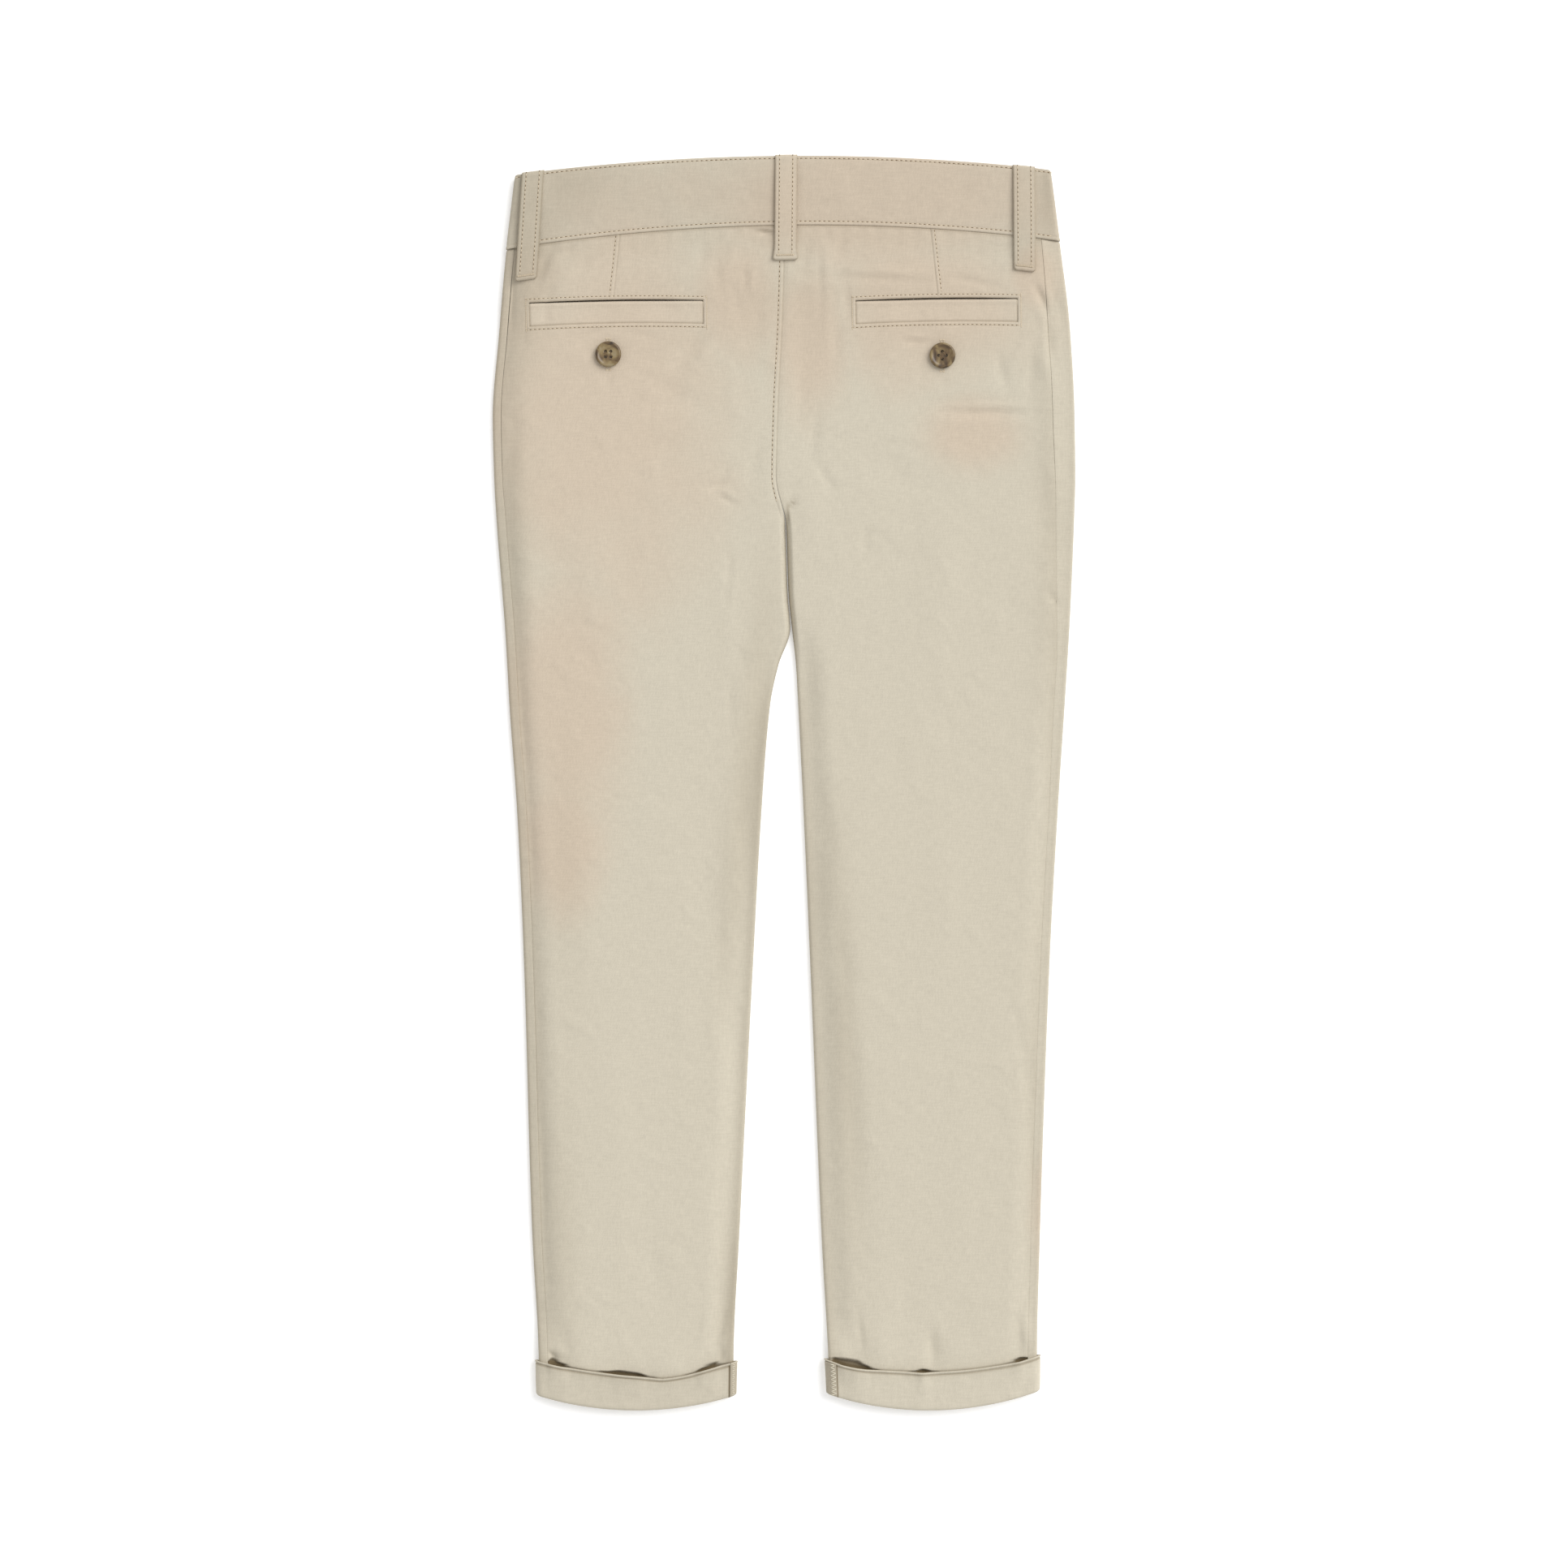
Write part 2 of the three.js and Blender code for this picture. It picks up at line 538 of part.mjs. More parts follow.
// A turned-up cuff: the leg's cloth folds outwards at its foot and runs back up round the leg. The
// outline of its cloth is given by how far up the leg it is from the fold, either in millimetres or
// as a share of the cuff's height, and by how far out from the leg's own outside.
function cuff(side) {
  const leg = LEGS[side];
  const outline = [
    { share: 1, out: SEAM },
    { share: 1, out: SEAM + CUFF_CLOTH },
    { share: 0.5, out: SEAM + CUFF_CLOTH },
    ...spaced(90, 270, 45).map((turn) => ({
      up: CUFF_BEAD * (1 + Math.cos(radians(turn))),
      out: SEAM + CUFF_CLOTH - CUFF_BEAD * (1 - Math.sin(radians(turn))),
    })),
    { up: CUFF_BEAD, out: SEAM },
    { share: 0.5, out: SEAM },
  ];
  const columns = [
    { curl: 0 },
    ...CURL.slice(1),
    ...marked("fromInner", [4, 8, 12]),
    ...marked("share", [0, 0.2, 0.4, 0.6, 0.8, 1]),
    { fromOuter: 8 },
    ...OUTER_FOLD,
    ...marked("share", [1, 0.7, 0.35], { under: true }),
    ...UNDER_CURL.slice(0, -1),
  ];
  const sections = columns.map((column) => {
    const { point } = place(leg, LEG_LENGTH, column);
    const share = Math.abs(point.x - innerAt(leg, LEG_LENGTH)) / widthAt(leg, LEG_LENGTH);
    const height = curved(leg.cuff, "share", share, "height");
    const gape = column.under || column.fold > 90 ? 0 : eased(leg.cuff, "share", share, "gape");
    return outline.map((mark) => {
      const up = mark.up ?? mark.share * height;
      const at = place(leg, LEG_LENGTH - up, column);
      return at.point.addScaledVector(at.out, mark.out + gape * (up / height) ** 2);
    });
  });
  return piece("cuff_" + side, closedRing(sections));
}

// A belt loop of the back: a strap from the waist's edge to below the waist seam, made from the
// cloth's own points and standing off it in the middle, where a belt goes through.
function backLoop(loop) {
  const grid = spaced(0, 1, 0.125).map((t) =>
    spaced(-0.5, 0.5, 0.25).map((half) => {
      const x = loop.top + (loop.foot - loop.top) * t + half * LOOP.width;
      const leg = x < 0 ? LEGS.left : LEGS.right;
      const y = sectionY(leg, -BAND_HEIGHT + t * (BAND_HEIGHT + LOOP.below), x);
      const standsOff = SEAM + LOOP_CLOTH + LOOP.belt * Math.sin(Math.PI * t) ** 2;
      return facingUp(x, y, topAt(x, y) + standsOff);
    }),
  );
  return piece(loop.name, clothWall(grid, LOOP_CLOTH));
}

// A belt loop of the front, pressed flat under the garment.
function frontLoop(loop) {
  const leg = loop.top < 0 ? LEGS.left : LEGS.right;
  const grid = spaced(0, 1, 0.25).map((t) =>
    [-0.5, 0.5].map((half) => {
      const x = loop.top + (loop.foot - loop.top) * t + half * LOOP.width;
      return facingUp(x, sectionY(leg, -BAND_HEIGHT + t * (BAND_HEIGHT + LOOP.below), x), LOOP_CLOTH);
    }),
  );
  return piece(loop.name, clothWall(grid, LOOP_CLOTH));
}

// The welt of a back pocket: a strip that fills the window but for the slit of its mouth.
function welt(side) {
  const pocket = POCKETS[side];
  const slope = radians(pocket.slope);
  const halfWidth = pocket.width / 2 - SEAM;
  const [low, high] = [SEAM - POCKET_HEIGHT / 2, POCKET_HEIGHT / 2 - POCKET_MOUTH];
  const grid = spaced(high, low, 6).map((v) =>
    spaced(-halfWidth, halfWidth, 12).map((u) => {
      const x = pocket.x + u * Math.cos(slope) - v * Math.sin(slope);
      const y = pocket.y + u * Math.sin(slope) + v * Math.cos(slope);
      return facingUp(x, y, topAt(x, y) - WELT_SINK);
    }),
  );
  return piece("welt_" + side, clothWall(grid, CLOTH));
}

// A sewn-through button with a raised rim and four holes, its back on z = 0.
function buttonGeometry() {
  const { radius, thickness, rim, dish, chamfer, sides } = BUTTON;
  const profile = [
    [0, 0],
    [radius - chamfer, 0],
    [radius, chamfer],
    [radius, thickness - chamfer],
    [radius - rim, thickness],
    [radius - rim - chamfer, thickness - dish],
    [0, thickness - dish],
  ];
  const body = new THREE.LatheGeometry(profile.map(([r, z]) => new THREE.Vector2(r, z)), sides);
  let button = solidOf(body.rotateX(Math.PI / 2));
  for (const turn of spaced(45, 315, 90)) {
    const { radius: hole, spread, sides: holeSides } = BUTTON_HOLES;
    const drill = new THREE.CylinderGeometry(hole, hole, BEYOND, holeSides).rotateX(Math.PI / 2);
    drill.translate(spread * Math.cos(radians(turn)), spread * Math.sin(radians(turn)), 0);
    button = button.subtract(solidOf(drill));
  }
  return geometryOf(button);
}

function pocketButton(side) {
  const { buttonX: x, buttonY: y } = POCKETS[side];
  const heights = spaced(0, 2 * Math.PI, Math.PI / 4).map((turn) =>
    topAt(x + BUTTON.radius * Math.cos(turn), y + BUTTON.radius * Math.sin(turn)),
  );
  const button = piece("button_pocket_" + side, buttonGeometry(), horn);
  button.position.set(x, y, Math.max(topAt(x, y), ...heights) + SEAM);
  return button;
}

function waistButton() {
  const button = piece("button_waist", buttonGeometry(), horn);
  button.rotation.y = Math.PI;
  button.position.set(WAIST_BUTTON.x, waistButtonY(), BUTTON.thickness);
  return button;
}

const trousers = new THREE.Group();
for (const side of ["left", "right"]) {
  trousers.add(backPanel(side), frontPanel(side), pocketFacing(side), waistband(side), cuff(side));
  trousers.add(welt(side), pocketButton(side));
}
for (const loop of BACK_LOOPS) trousers.add(backLoop(loop));
for (const loop of FRONT_LOOPS) trousers.add(frontLoop(loop));
trousers.add(waistButton());

export default trousers;
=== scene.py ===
"""Dresses a child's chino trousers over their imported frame, laid out flat with the back upwards.

Sizes in this script are millimetres, as a garment maker writes them; `MM` turns them into metres
when a piece is finished. +X is the wearer's right, +Y runs from the hems to the waist and +Z is up.
`down` is how far a section across the garment lies below the waist seam.
"""

import logging
import math
from dataclasses import dataclass, field
from enum import Enum
from functools import cached_property
from itertools import product
from typing import NamedTuple, Sequence

import bmesh
import bpy
import numpy as np
from mathutils import Matrix, Vector


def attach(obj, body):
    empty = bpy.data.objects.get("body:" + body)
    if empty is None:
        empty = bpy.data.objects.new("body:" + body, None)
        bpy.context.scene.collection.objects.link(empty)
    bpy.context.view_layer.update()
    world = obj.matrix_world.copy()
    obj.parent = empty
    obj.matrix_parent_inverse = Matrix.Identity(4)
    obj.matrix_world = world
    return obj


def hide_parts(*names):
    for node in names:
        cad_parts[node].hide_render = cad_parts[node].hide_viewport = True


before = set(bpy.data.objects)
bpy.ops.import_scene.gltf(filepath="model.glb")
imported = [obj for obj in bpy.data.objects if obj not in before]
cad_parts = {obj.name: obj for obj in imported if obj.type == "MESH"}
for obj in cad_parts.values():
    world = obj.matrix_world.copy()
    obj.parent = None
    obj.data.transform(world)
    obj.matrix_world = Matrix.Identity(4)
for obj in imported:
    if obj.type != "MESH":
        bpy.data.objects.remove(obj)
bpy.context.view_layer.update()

MM = 0.001
BODY = "root"
UP, DOWN = (0, 0, 1), (0, 0, -1)

Numbers = np.ndarray
log = logging.getLogger("chinos")


# Small tools


def ease(t: Numbers) -> Numbers:
    """0 below 0, 1 above 1, and an even curve between."""
    share = np.clip(t, 0.0, 1.0)
    return share * share * (3 - 2 * share)


def bump(distance: Numbers, width: float) -> Numbers:
    """A soft ridge: 1 at no distance, falling away over the width on both sides."""
    return np.exp(-((np.asarray(distance) / width) ** 2))


def steps(first: float, last: float, size: float) -> list[float]:
    """Numbers from first to last, both included, with at most the given step between them."""
    count = max(1, math.ceil(abs(last - first) / size))
    return [first + (last - first) * i / count for i in range(count + 1)]


class Curve:
    """One column of a table over its key.

    Args:
        keys: The rows' keys, rising.
        values: The column's value in each row.
    """

    def __init__(self, keys: Sequence[float], values: Sequence[float]) -> None:
        """Works out a slope for each row at which the curve never overshoots its rows."""
        self.keys, self.values = np.array(keys, float), np.array(values, float)
        rises = np.diff(self.values) / np.diff(self.keys)
        before, after = rises[:-1], rises[1:]
        both = before * after > 0
        self.slopes = np.zeros(len(keys))
        self.slopes[0], self.slopes[-1] = rises[0], rises[-1]
        self.slopes[1:-1][both] = 2 * (before * after)[both] / (before + after)[both]

    def _within(self, at: Numbers) -> tuple[Numbers, Numbers, Numbers]:
        """The rows that places lie between.

        Args:
            at: The keys to read.

        Returns:
            The row before each, the span to the next row, and how much of it has passed.
        """
        i = np.clip(np.searchsorted(self.keys, at, side="right") - 1, 0, len(self.keys) - 2)
        span = self.keys[i + 1] - self.keys[i]
        return i, span, (at - self.keys[i]) / span

    def smooth(self, at: Numbers) -> Numbers:
        """The value on a smooth curve through all rows.

        Args:
            at: The keys to read.

        Returns:
            A value for each.
        """
        i, span, t = self._within(np.asarray(at, float))
        start = (1 + 2 * t) * (1 - t) ** 2 * self.values[i] + t * (1 - t) ** 2 * span * self.slopes[i]
        end = t * t * (3 - 2 * t) * self.values[i + 1] + t * t * (t - 1) * span * self.slopes[i + 1]
        return start + end

    def eased(self, at: Numbers) -> Numbers:
        """The value eased from row to row, and the end rows' values beyond them."""
        i, _, t = self._within(np.clip(np.asarray(at, float), self.keys[0], self.keys[-1]))
        return self.values[i] + (self.values[i + 1] - self.values[i]) * ease(t)


class Side(Enum):
    """A leg, named as the wearer names it. The back is up, so it is on the same side of the picture."""

    LEFT = "left"
    RIGHT = "right"

    @property
    def sign(self) -> int:
        """-1 where the leg lies at negative x and 1 where it lies at positive x."""
        return -1 if self is Side.LEFT else 1


# The lay of the garment: the same sections as the frame's


@dataclass(frozen=True)
class Lay:
    """Sizes that both legs share."""

    seam_line_y: float = 301.9
    band_height: float = 37.7
    leg_length: float = 641.4
    crotch_down: float = 161
    seat_dip: float = 46
    half_width: float = 150
    hem_bow_length: float = 80
    fold_radius: float = 1.8
    band_fold_radius: float = 2.3
    side_flat: float = 1.2  # how far the folded side stays flat before the cloth rises
    edge_flat: float = 4
    edge_rise: float = 12
    touching_down: float = 205  # above this the inner sides of the legs touch
    touching_rise: float = 3.2
    parting: float = 45  # length over which they come apart
    seam: float = 0.3
    cuff_bead: float = 1.6

    @property
    def margin(self) -> float:
        """Width of the strip along a folded side over which the cloth rises."""
        return self.edge_flat + self.edge_rise

    @property
    def last_down(self) -> float:
        """How far down the leg's cloth runs before it turns up into the cuff."""
        return self.leg_length - self.cuff_bead - self.seam


LAY = Lay()
WAIST_BOW = Curve((-38, 0, 150), (9.4, 10.7, 0))
WAIST_TILT = Curve((-38, 0, 150), (1.3, 2.2, 0))
LIFT = Curve((-38, 22, 50, 590, 616, 642), (1.3, 1.3, 0, 0, 1.9, 1.9))
CROWN = Curve((-38, 22, 50, 590, 616, 642), (7.6, 7.3, 6.5, 6.3, 6.6, 6.6))


class Crease(NamedTuple):
    """A soft fold: its middle, its turn from +X in degrees, half length, half width and height."""

    x: float
    y: float
    turn: float
    half: float
    width: float
    height: float


# In these tables each row is a Crease. First the frame's own folds of the back
LAID_FOLDS = (
    (11, 235, 91, 62, 7, -0.5), (21, 262, 94, 42, 5, 0.5), (-20, 245, 84, 34, 6, -0.4),
    (-9, 160, 80, 34, 7, 0.5), (14, 150, 98, 40, 8, 0.5), (100, 204, 0, 46, 5, -0.5),
    (-70, 206, 3, 40, 6, -0.4), (-88, 232, -4, 34, 7, -0.4), (88, 232, 4, 34, 7, -0.4),
    (-30, 80, 92, 52, 6, 0.4), (38, -230, 91, 95, 10, -0.6), (-40, -60, 93, 120, 11, -0.4),
    (-122, -308, 104, 20, 6, -1.0), (-37, -304, 76, 24, 5, -1.0), (-60, -318, 90, 20, 9, 0.7),
    (36, -304, 104, 22, 6, -1.0), (53, -306, 92, 24, 7, 0.7), (81, -310, 88, 20, 6, -0.8),
    (126, -305, 84, 18, 5, -0.8),
)
# The finer creases of the seat, and then those of the legs
FINE_CREASES = (
    (-11, 298.3, -6, 8, 1.1, -1.55), (-20.5, 273, 97, 16, 1.3, -0.77), (-17.8, 272, 97, 15, 1.5, 0.55),
    (20.5, 274, 92, 24, 1.4, -0.77), (22.6, 276, 92, 22, 1.8, 0.55), (-130, 279, 68, 17, 2.2, -1.43),
    (-126, 281, 70, 14, 3.0, 0.77), (-52, 234, 48, 20, 4.0, -1.22), (-46, 229, 50, 16, 4.0, 0.66),
    (50, 273, -3, 38, 1.9, -0.62), (52, 277, -3, 34, 2.2, 0.44), (104, 271, -11, 22, 1.9, -0.7),
    (71, 239, 2, 11, 1.2, -1.0), (72, 241.4, 2, 10, 1.4, 0.55), (112, 203.8, 0, 38, 1.8, 0.88),
    (110, 200.6, 0, 40, 2.4, -0.77), (139.5, 262, 115, 13, 2.2, -1.55), (144, 241, 95, 19, 2.2, -1.43),
    (141, 226, 100, 16, 3.2, 0.66), (-31, 153.5, -27, 9, 1.2, -1.0), (-30, 155.8, -27, 8, 1.4, 0.55),
    (143, 140, 95, 40, 8.0, -1.22), (4, 152, 60, 6, 1.0, -1.1), (-70, 180, 20, 30, 9.0, -0.55),
    (60, 168, -25, 34, 9.0, -0.55), (-105, 120, 100, 60, 12.0, 0.66), (84, 110, 86, 70, 12.0, 0.66),
    (-60, 318, 60, 16, 5.0, 0.44), (30, 320, 95, 14, 6.0, 0.44), (95, 318, 70, 14, 5.0, -0.44),
    (-118, 288, 20, 12, 2.0, -0.78), (-108, 281, 52, 13, 2.4, -0.72), (-96, 294, 84, 9, 2.2, -0.52),
    (-44, 285, 80, 12, 2.6, -0.59), (-36, 276, 98, 16, 2.0, -0.65), (-28, 288, 75, 12, 2.0, 0.59),
    (-26, 262, 104, 14, 2.2, -0.52), (11, 285, 86, 14, 1.8, -0.78), (30, 290, 70, 12, 2.0, -0.59),
    (34, 262, 96, 17, 2.0, -0.65), (28, 240, 88, 16, 2.4, -0.52), (-95, 219, 90, 9, 1.6, -0.59),
    (-104, 244, 12, 12, 1.8, -0.52), (-78, 243, 168, 12, 1.8, -0.52), (74, 222, 96, 8, 1.8, -0.45),
    (118, 222, 102, 18, 2.6, -0.72), (127, 233, 62, 16, 2.4, 0.65), (134, 222, 84, 22, 2.4, -0.65),
    (16, 188, 82, 26, 3.0, -0.72), (22, 166, 118, 16, 2.4, -0.65), (-36, 161, 10, 11, 1.6, -0.78),
    (-16, 172, 78, 20, 2.6, -0.59), (44, 131, 82, 12, 2.0, -0.65), (146, 100, 138, 9, 2.0, -1.04),
    (-146, 190, 84, 26, 3.0, -0.65), (-141, 240, 78, 20, 2.4, -0.65), (-60, 212, 152, 30, 5.0, -0.52),
    (-114, 150, 24, 26, 6.0, -0.45), (60, 120, 12, 30, 7.0, -0.39), (19, 262, 93, 34, 1.5, -0.5),
    (-14, 250, 92, 34, 2.2, -0.45), (9, 205, 88, 40, 2.4, -0.5), (147, 262, 104, 16, 1.6, -0.9),
    (-33, 166, 62, 12, 1.6, -0.7), (-128, 262, 82, 26, 2.2, -0.6), (-147, 262, 86, 22, 1.6, -1.0),
    (-30, 111, 87, 22, 1.3, -0.8), (-28.2, 108, 87, 20, 1.5, 0.4), (-29, 44, 94, 16, 1.3, -0.67),
    (-25.6, 20, 74, 18, 1.8, -0.48), (-23, -12, 91, 46, 4.5, -0.88), (-31, -117, 93, 68, 5.5, -0.88),
    (-36, -215, 92, 52, 5.0, -0.56), (24, -28, 92, 34, 3.6, -0.67), (31, -92, 95, 42, 4.5, -0.72),
    (37, -180, 93, 70, 5.5, -0.8), (130, -150, 100, 46, 3.6, -0.61), (134, -208, 91, 34, 3.0, -0.56),
    (-112, -40, 88, 90, 10.0, 0.4), (-92, -190, 91, 80, 11.0, 0.4), (86, -60, 90, 90, 12.0, 0.4),
    (96, -210, 89, 70, 10.0, 0.35), (-70, -262, 96, 32, 7.0, -0.48), (66, -272, 88, 30, 7.0, -0.4),
    (-125, -310.5, -50, 5.5, 1.5, -1.7), (-121.5, -307, -60, 6, 1.6, 0.9),
    (-119, -298, 105, 15, 3.0, -0.35), (-34.3, -309.5, 88, 7, 1.1, -1.5),
    (-36.8, -309, 86, 6, 1.2, 0.7), (-34.6, -298, 80, 17, 1.5, -1.2), (-41, -290, 74, 20, 3.0, 0.64),
    (41, -296, 97, 18, 1.8, -0.8), (80, -306, 90, 14, 2.6, -0.96), (127, -298, 93, 16, 2.0, -0.96),
    (131, -292, 91, 18, 2.4, 0.56),
)
# Long soft strokes of painted shade where the cloth's folds lie in shade: the height is each one's share
# of the painted shade colour
SOFT_SHADOWS = (
    (-20, 0, 84, 170, 9, 0.21), (-27, -285, 86, 80, 8, 0.2), (33, -150, 92, 170, 8, 0.17),
    (21, -52, 85, 80, 8, 0.07), (146, 110, 91, 230, 10, 0.15), (139, -170, 90, 170, 10, 0.12),
    (-136, 270, 78, 80, 13, 0.2), (-147, 120, 90, 160, 9, 0.17), (-139, -130, 92, 190, 8, 0.2),
    (-117, -60, 91, 150, 12, 0.06), (-121, -250, 91, 140, 10, 0.12), (0, 262, 0, 200, 34, 0.055),
    (-113, 331, 90, 44, 22, 0.14), (-60, 322, 0, 120, 24, 0.06), (143, 322, 90, 60, 7, 0.26),
    (-146, 322, 84, 46, 6, 0.2), (2.3, 146, 95, 9, 0.8, 0.5), (4.6, 151.5, 35, 4.5, 0.9, 0.4),
    (-9, 299, -8, 8, 0.8, 0.3),
)
# Creases of the front, which lies on the floor: each lifts the cloth off it
FRONT_CREASES = (
    (-24, 258, 96, 30, 3.0, 0.5), (22, 250, 82, 26, 3.0, 0.45), (-118, 190, 60, 24, 3.5, 0.5),
    (120, 196, 118, 26, 3.5, 0.5), (-30, 138, 30, 20, 2.4, 0.6), (28, 136, 148, 22, 2.4, 0.6),
    (-46, 150, 12, 26, 2.6, 0.45), (50, 152, 168, 24, 2.6, 0.45), (-70, 20, 92, 70, 6.0, 0.35),
    (74, -10, 89, 80, 6.0, 0.35), (-84, -210, 88, 60, 5.0, 0.4), (84, -190, 91, 66, 5.0, 0.4),
    (-60, -296, 84, 20, 3.0, 0.5), (62, -298, 97, 22, 3.0, 0.5),
)


def relief(creases: Sequence[tuple[float, ...]], x: Numbers, y: Numbers) -> Numbers:
    """Height that a set of creases adds at plan points.

    Args:
        creases: The folds to add up, in rows like Crease.
        x: The points' x.
        y: The points' y.

    Returns:
        The added height at each point.
    """
    x, y = np.broadcast_arrays(x, y)
    table = np.array(creases).T.reshape((len(Crease._fields), len(creases)) + (1,) * x.ndim)
    crease = Crease(*table)
    cos, sin = np.cos(np.radians(crease.turn)), np.sin(np.radians(crease.turn))
    along = (x - crease.x) * cos + (y - crease.y) * sin
    across = (y - crease.y) * cos - (x - crease.x) * sin
    length = 1 - ease(np.abs(along) / crease.half)
    return np.sum(crease.height * length * np.exp(-((across / crease.width) ** 2)), axis=0)


class Where(Enum):
    """What a column of a section is measured on."""

    FROM_INNER = "distance in from the inner side"
    FROM_OUTER = "distance in from the outer side"
    FOLD = "angle round the outer fold: 90 on top, 180 outermost, 270 at the bottom"
    CURL = "angle round the inner side's curl: 0 at its edge, 90 where it ends"


class Column(NamedTuple):
    """A line that runs down a leg, at one value or at one for each section."""

    where: Where
    value: float | Numbers
    under: bool = False


class LegRow(NamedTuple):
    """A section of a leg: its outer side, its inner side, and how far in the side seam lies."""

    down: float
    outer: float
    inner: float
    side_seam: float


class CuffRow(NamedTuple):
    """A place along a cuff: its share of the way out, its height, how far its edge stands off the
    leg, and how far up from the edge the leg's cloth is sunk there."""

    share: float
    height: float
    gape: float
    hollow: float


@dataclass(frozen=True)
class Leg:
    """One leg of the laid-out garment with its half of the seat and waist.

    Its rows are read as LegRow and its cuff's rows as CuffRow.
    """

    side: Side
    rows: tuple[tuple[float, ...], ...]
    cuff_rows: tuple[tuple[float, ...], ...]
    hem_bow: float
    hem_tilt: float
    kept: dict[str, Curve] = field(default_factory=dict)

    def _curve(self, name: str) -> Curve:
        """The named column of the leg's own tables, kept once it is made.

        Args:
            name: A field of LegRow or CuffRow.

        Returns:
            The column's curve.
        """
        if name not in self.kept:
            kind, rows = (CuffRow, self.cuff_rows) if name in CuffRow._fields else (LegRow, self.rows)
            column = [getattr(kind(*row), name) for row in rows]
            self.kept[name] = Curve([row[0] for row in rows], column)
        return self.kept[name]

    def outer(self, down: Numbers) -> Numbers:
        """x of the folded outer side."""
        return self._curve("outer").smooth(down)

    def inner(self, down: Numbers) -> Numbers:
        """x of the seat seam or of the folded inner side."""
        return self._curve("inner").smooth(down)

    def side_seam(self, down: Numbers) -> Numbers:
        """How far in from the outer side the side seam lies on the upper face."""
        return self._curve("side_seam").smooth(down)

    def width(self, down: Numbers) -> Numbers:
        """Width of the leg as it lies."""
        return np.abs(self.outer(down) - self.inner(down))

    @property
    def hem(self) -> tuple[float, float]:
        """x of the hem's inner side, and the hem's width."""
        return float(self.inner(LAY.leg_length)), float(self.width(LAY.leg_length))

    def cuff_height(self, share: Numbers) -> Numbers:
        """Height of the cuff from its fold to its free edge."""
        return self._curve("height").smooth(share)

    def cuff_gape(self, share: Numbers) -> Numbers:
        """How far the cuff's free edge stands off the leg."""
        return self._curve("gape").eased(share)

    def cuff_hollow(self, share: Numbers) -> Numbers:
        """How far up from the cuff's edge the leg's cloth is sunk."""
        return self._curve("hollow").eased(share)

    def section_y(self, down: Numbers, x: Numbers) -> Numbers:
        """y of a section, which is bowed near the waist and near the hem.

        Args:
            down: The sections.
            x: The places along them.

        Returns:
            y at each place.
        """
        middle = (self.outer(down) + self.inner(down)) / 2
        across = (x - middle) / (self.width(down) / 2)
        hem = ease((down - LAY.leg_length + LAY.hem_bow_length) / LAY.hem_bow_length)
        bow = WAIST_BOW.eased(down) * (x / LAY.half_width) ** 2
        tilt = WAIST_TILT.eased(down) * x / LAY.half_width
        hem_line = hem * (self.hem_bow * across**2 + self.hem_tilt * across)
        return LAY.seam_line_y - down - bow + tilt + hem_line

    def down_at(self, x: Numbers, y: Numbers) -> Numbers:
        """How far down the garment plan points lie.

        Args:
            x: The points' x.
            y: The points' y.

        Returns:
            The section that each point lies on.
        """
        down = LAY.seam_line_y - y
        for _ in range(12):
            down = down + self.section_y(down, x) - y
        return down

    def leg_share(self, down: Numbers) -> Numbers:
        """0 where the halves lie side by side at the seat, 1 where the leg has a folded inner side."""
        return ease((down - LAY.crotch_down + LAY.seat_dip) / LAY.seat_dip)

    def insets(self, down: Numbers, x: Numbers) -> tuple[Numbers, Numbers]:
        """Distances in from the inner side, never below zero, and in from the outer side."""
        sign = self.side.sign
        return np.maximum(0, (x - self.inner(down)) * sign), (self.outer(down) - x) * sign

    def _round(self, from_inner: Numbers) -> Numbers:
        """How far the round of the inner side has risen, at a distance in from it."""
        short = np.maximum(0, LAY.fold_radius - from_inner)
        return np.sqrt(LAY.fold_radius**2 - short**2)

    def top(self, down: Numbers, x: Numbers) -> Numbers:
        """Height of the upper face, with its large folds and its fine creases.

        Args:
            down: The sections.
            x: The places along them.

        Returns:
            The height at each place.
        """
        from_inner, from_outer = self.insets(down, x)
        radius = np.where(np.asarray(down) < 0, LAY.band_fold_radius, LAY.fold_radius)
        edge = LIFT.eased(down) + 2 * radius
        y = self.section_y(down, x)
        crown = CROWN.eased(down) + relief(LAID_FOLDS, x, y)
        fullness = (crown - edge) * ease((from_outer - LAY.side_flat) / (LAY.margin - LAY.side_flat))
        apart = ease((down - LAY.touching_down) / LAY.parting)
        apart_rise = ease((from_inner - LAY.edge_flat) / LAY.edge_rise)
        inner_rise = apart_rise * apart + ease(from_inner / LAY.touching_rise) * (1 - apart)
        seat = edge + fullness
        in_leg = edge - LAY.fold_radius + self._round(from_inner) + fullness * inner_rise
        rolled = ease((down - LAY.crotch_down + 9) / 14)
        fine = relief(FINE_CREASES, x, y) * ease(from_outer / LAY.edge_flat)
        return seat + (in_leg - seat) * rolled + fine

    def under(self, down: Numbers, x: Numbers) -> Numbers:
        """Height of the underside, which curls up at the inner side and lies over the waist button.

        Args:
            down: The sections.
            x: The places along them.

        Returns:
            The height at each place.
        """
        from_inner, from_outer = self.insets(down, x)
        curl = (LAY.fold_radius - self._round(from_inner)) * self.leg_share(down)
        y = self.section_y(down, x)
        away = np.hypot(x - WAIST_BUTTON_X, y - waist_button_y())
        on_button = 1 - ease((away - BUTTON.radius - 1.5) / 8)
        inside = ease((from_outer - 2) / 8) * ease((from_inner - 2) / 6)
        lift = LIFT.eased(down)
        button = (BUTTON.thickness + LAY.seam - lift) * on_button
        return lift + curl + button + relief(FRONT_CREASES, x, y) * inside

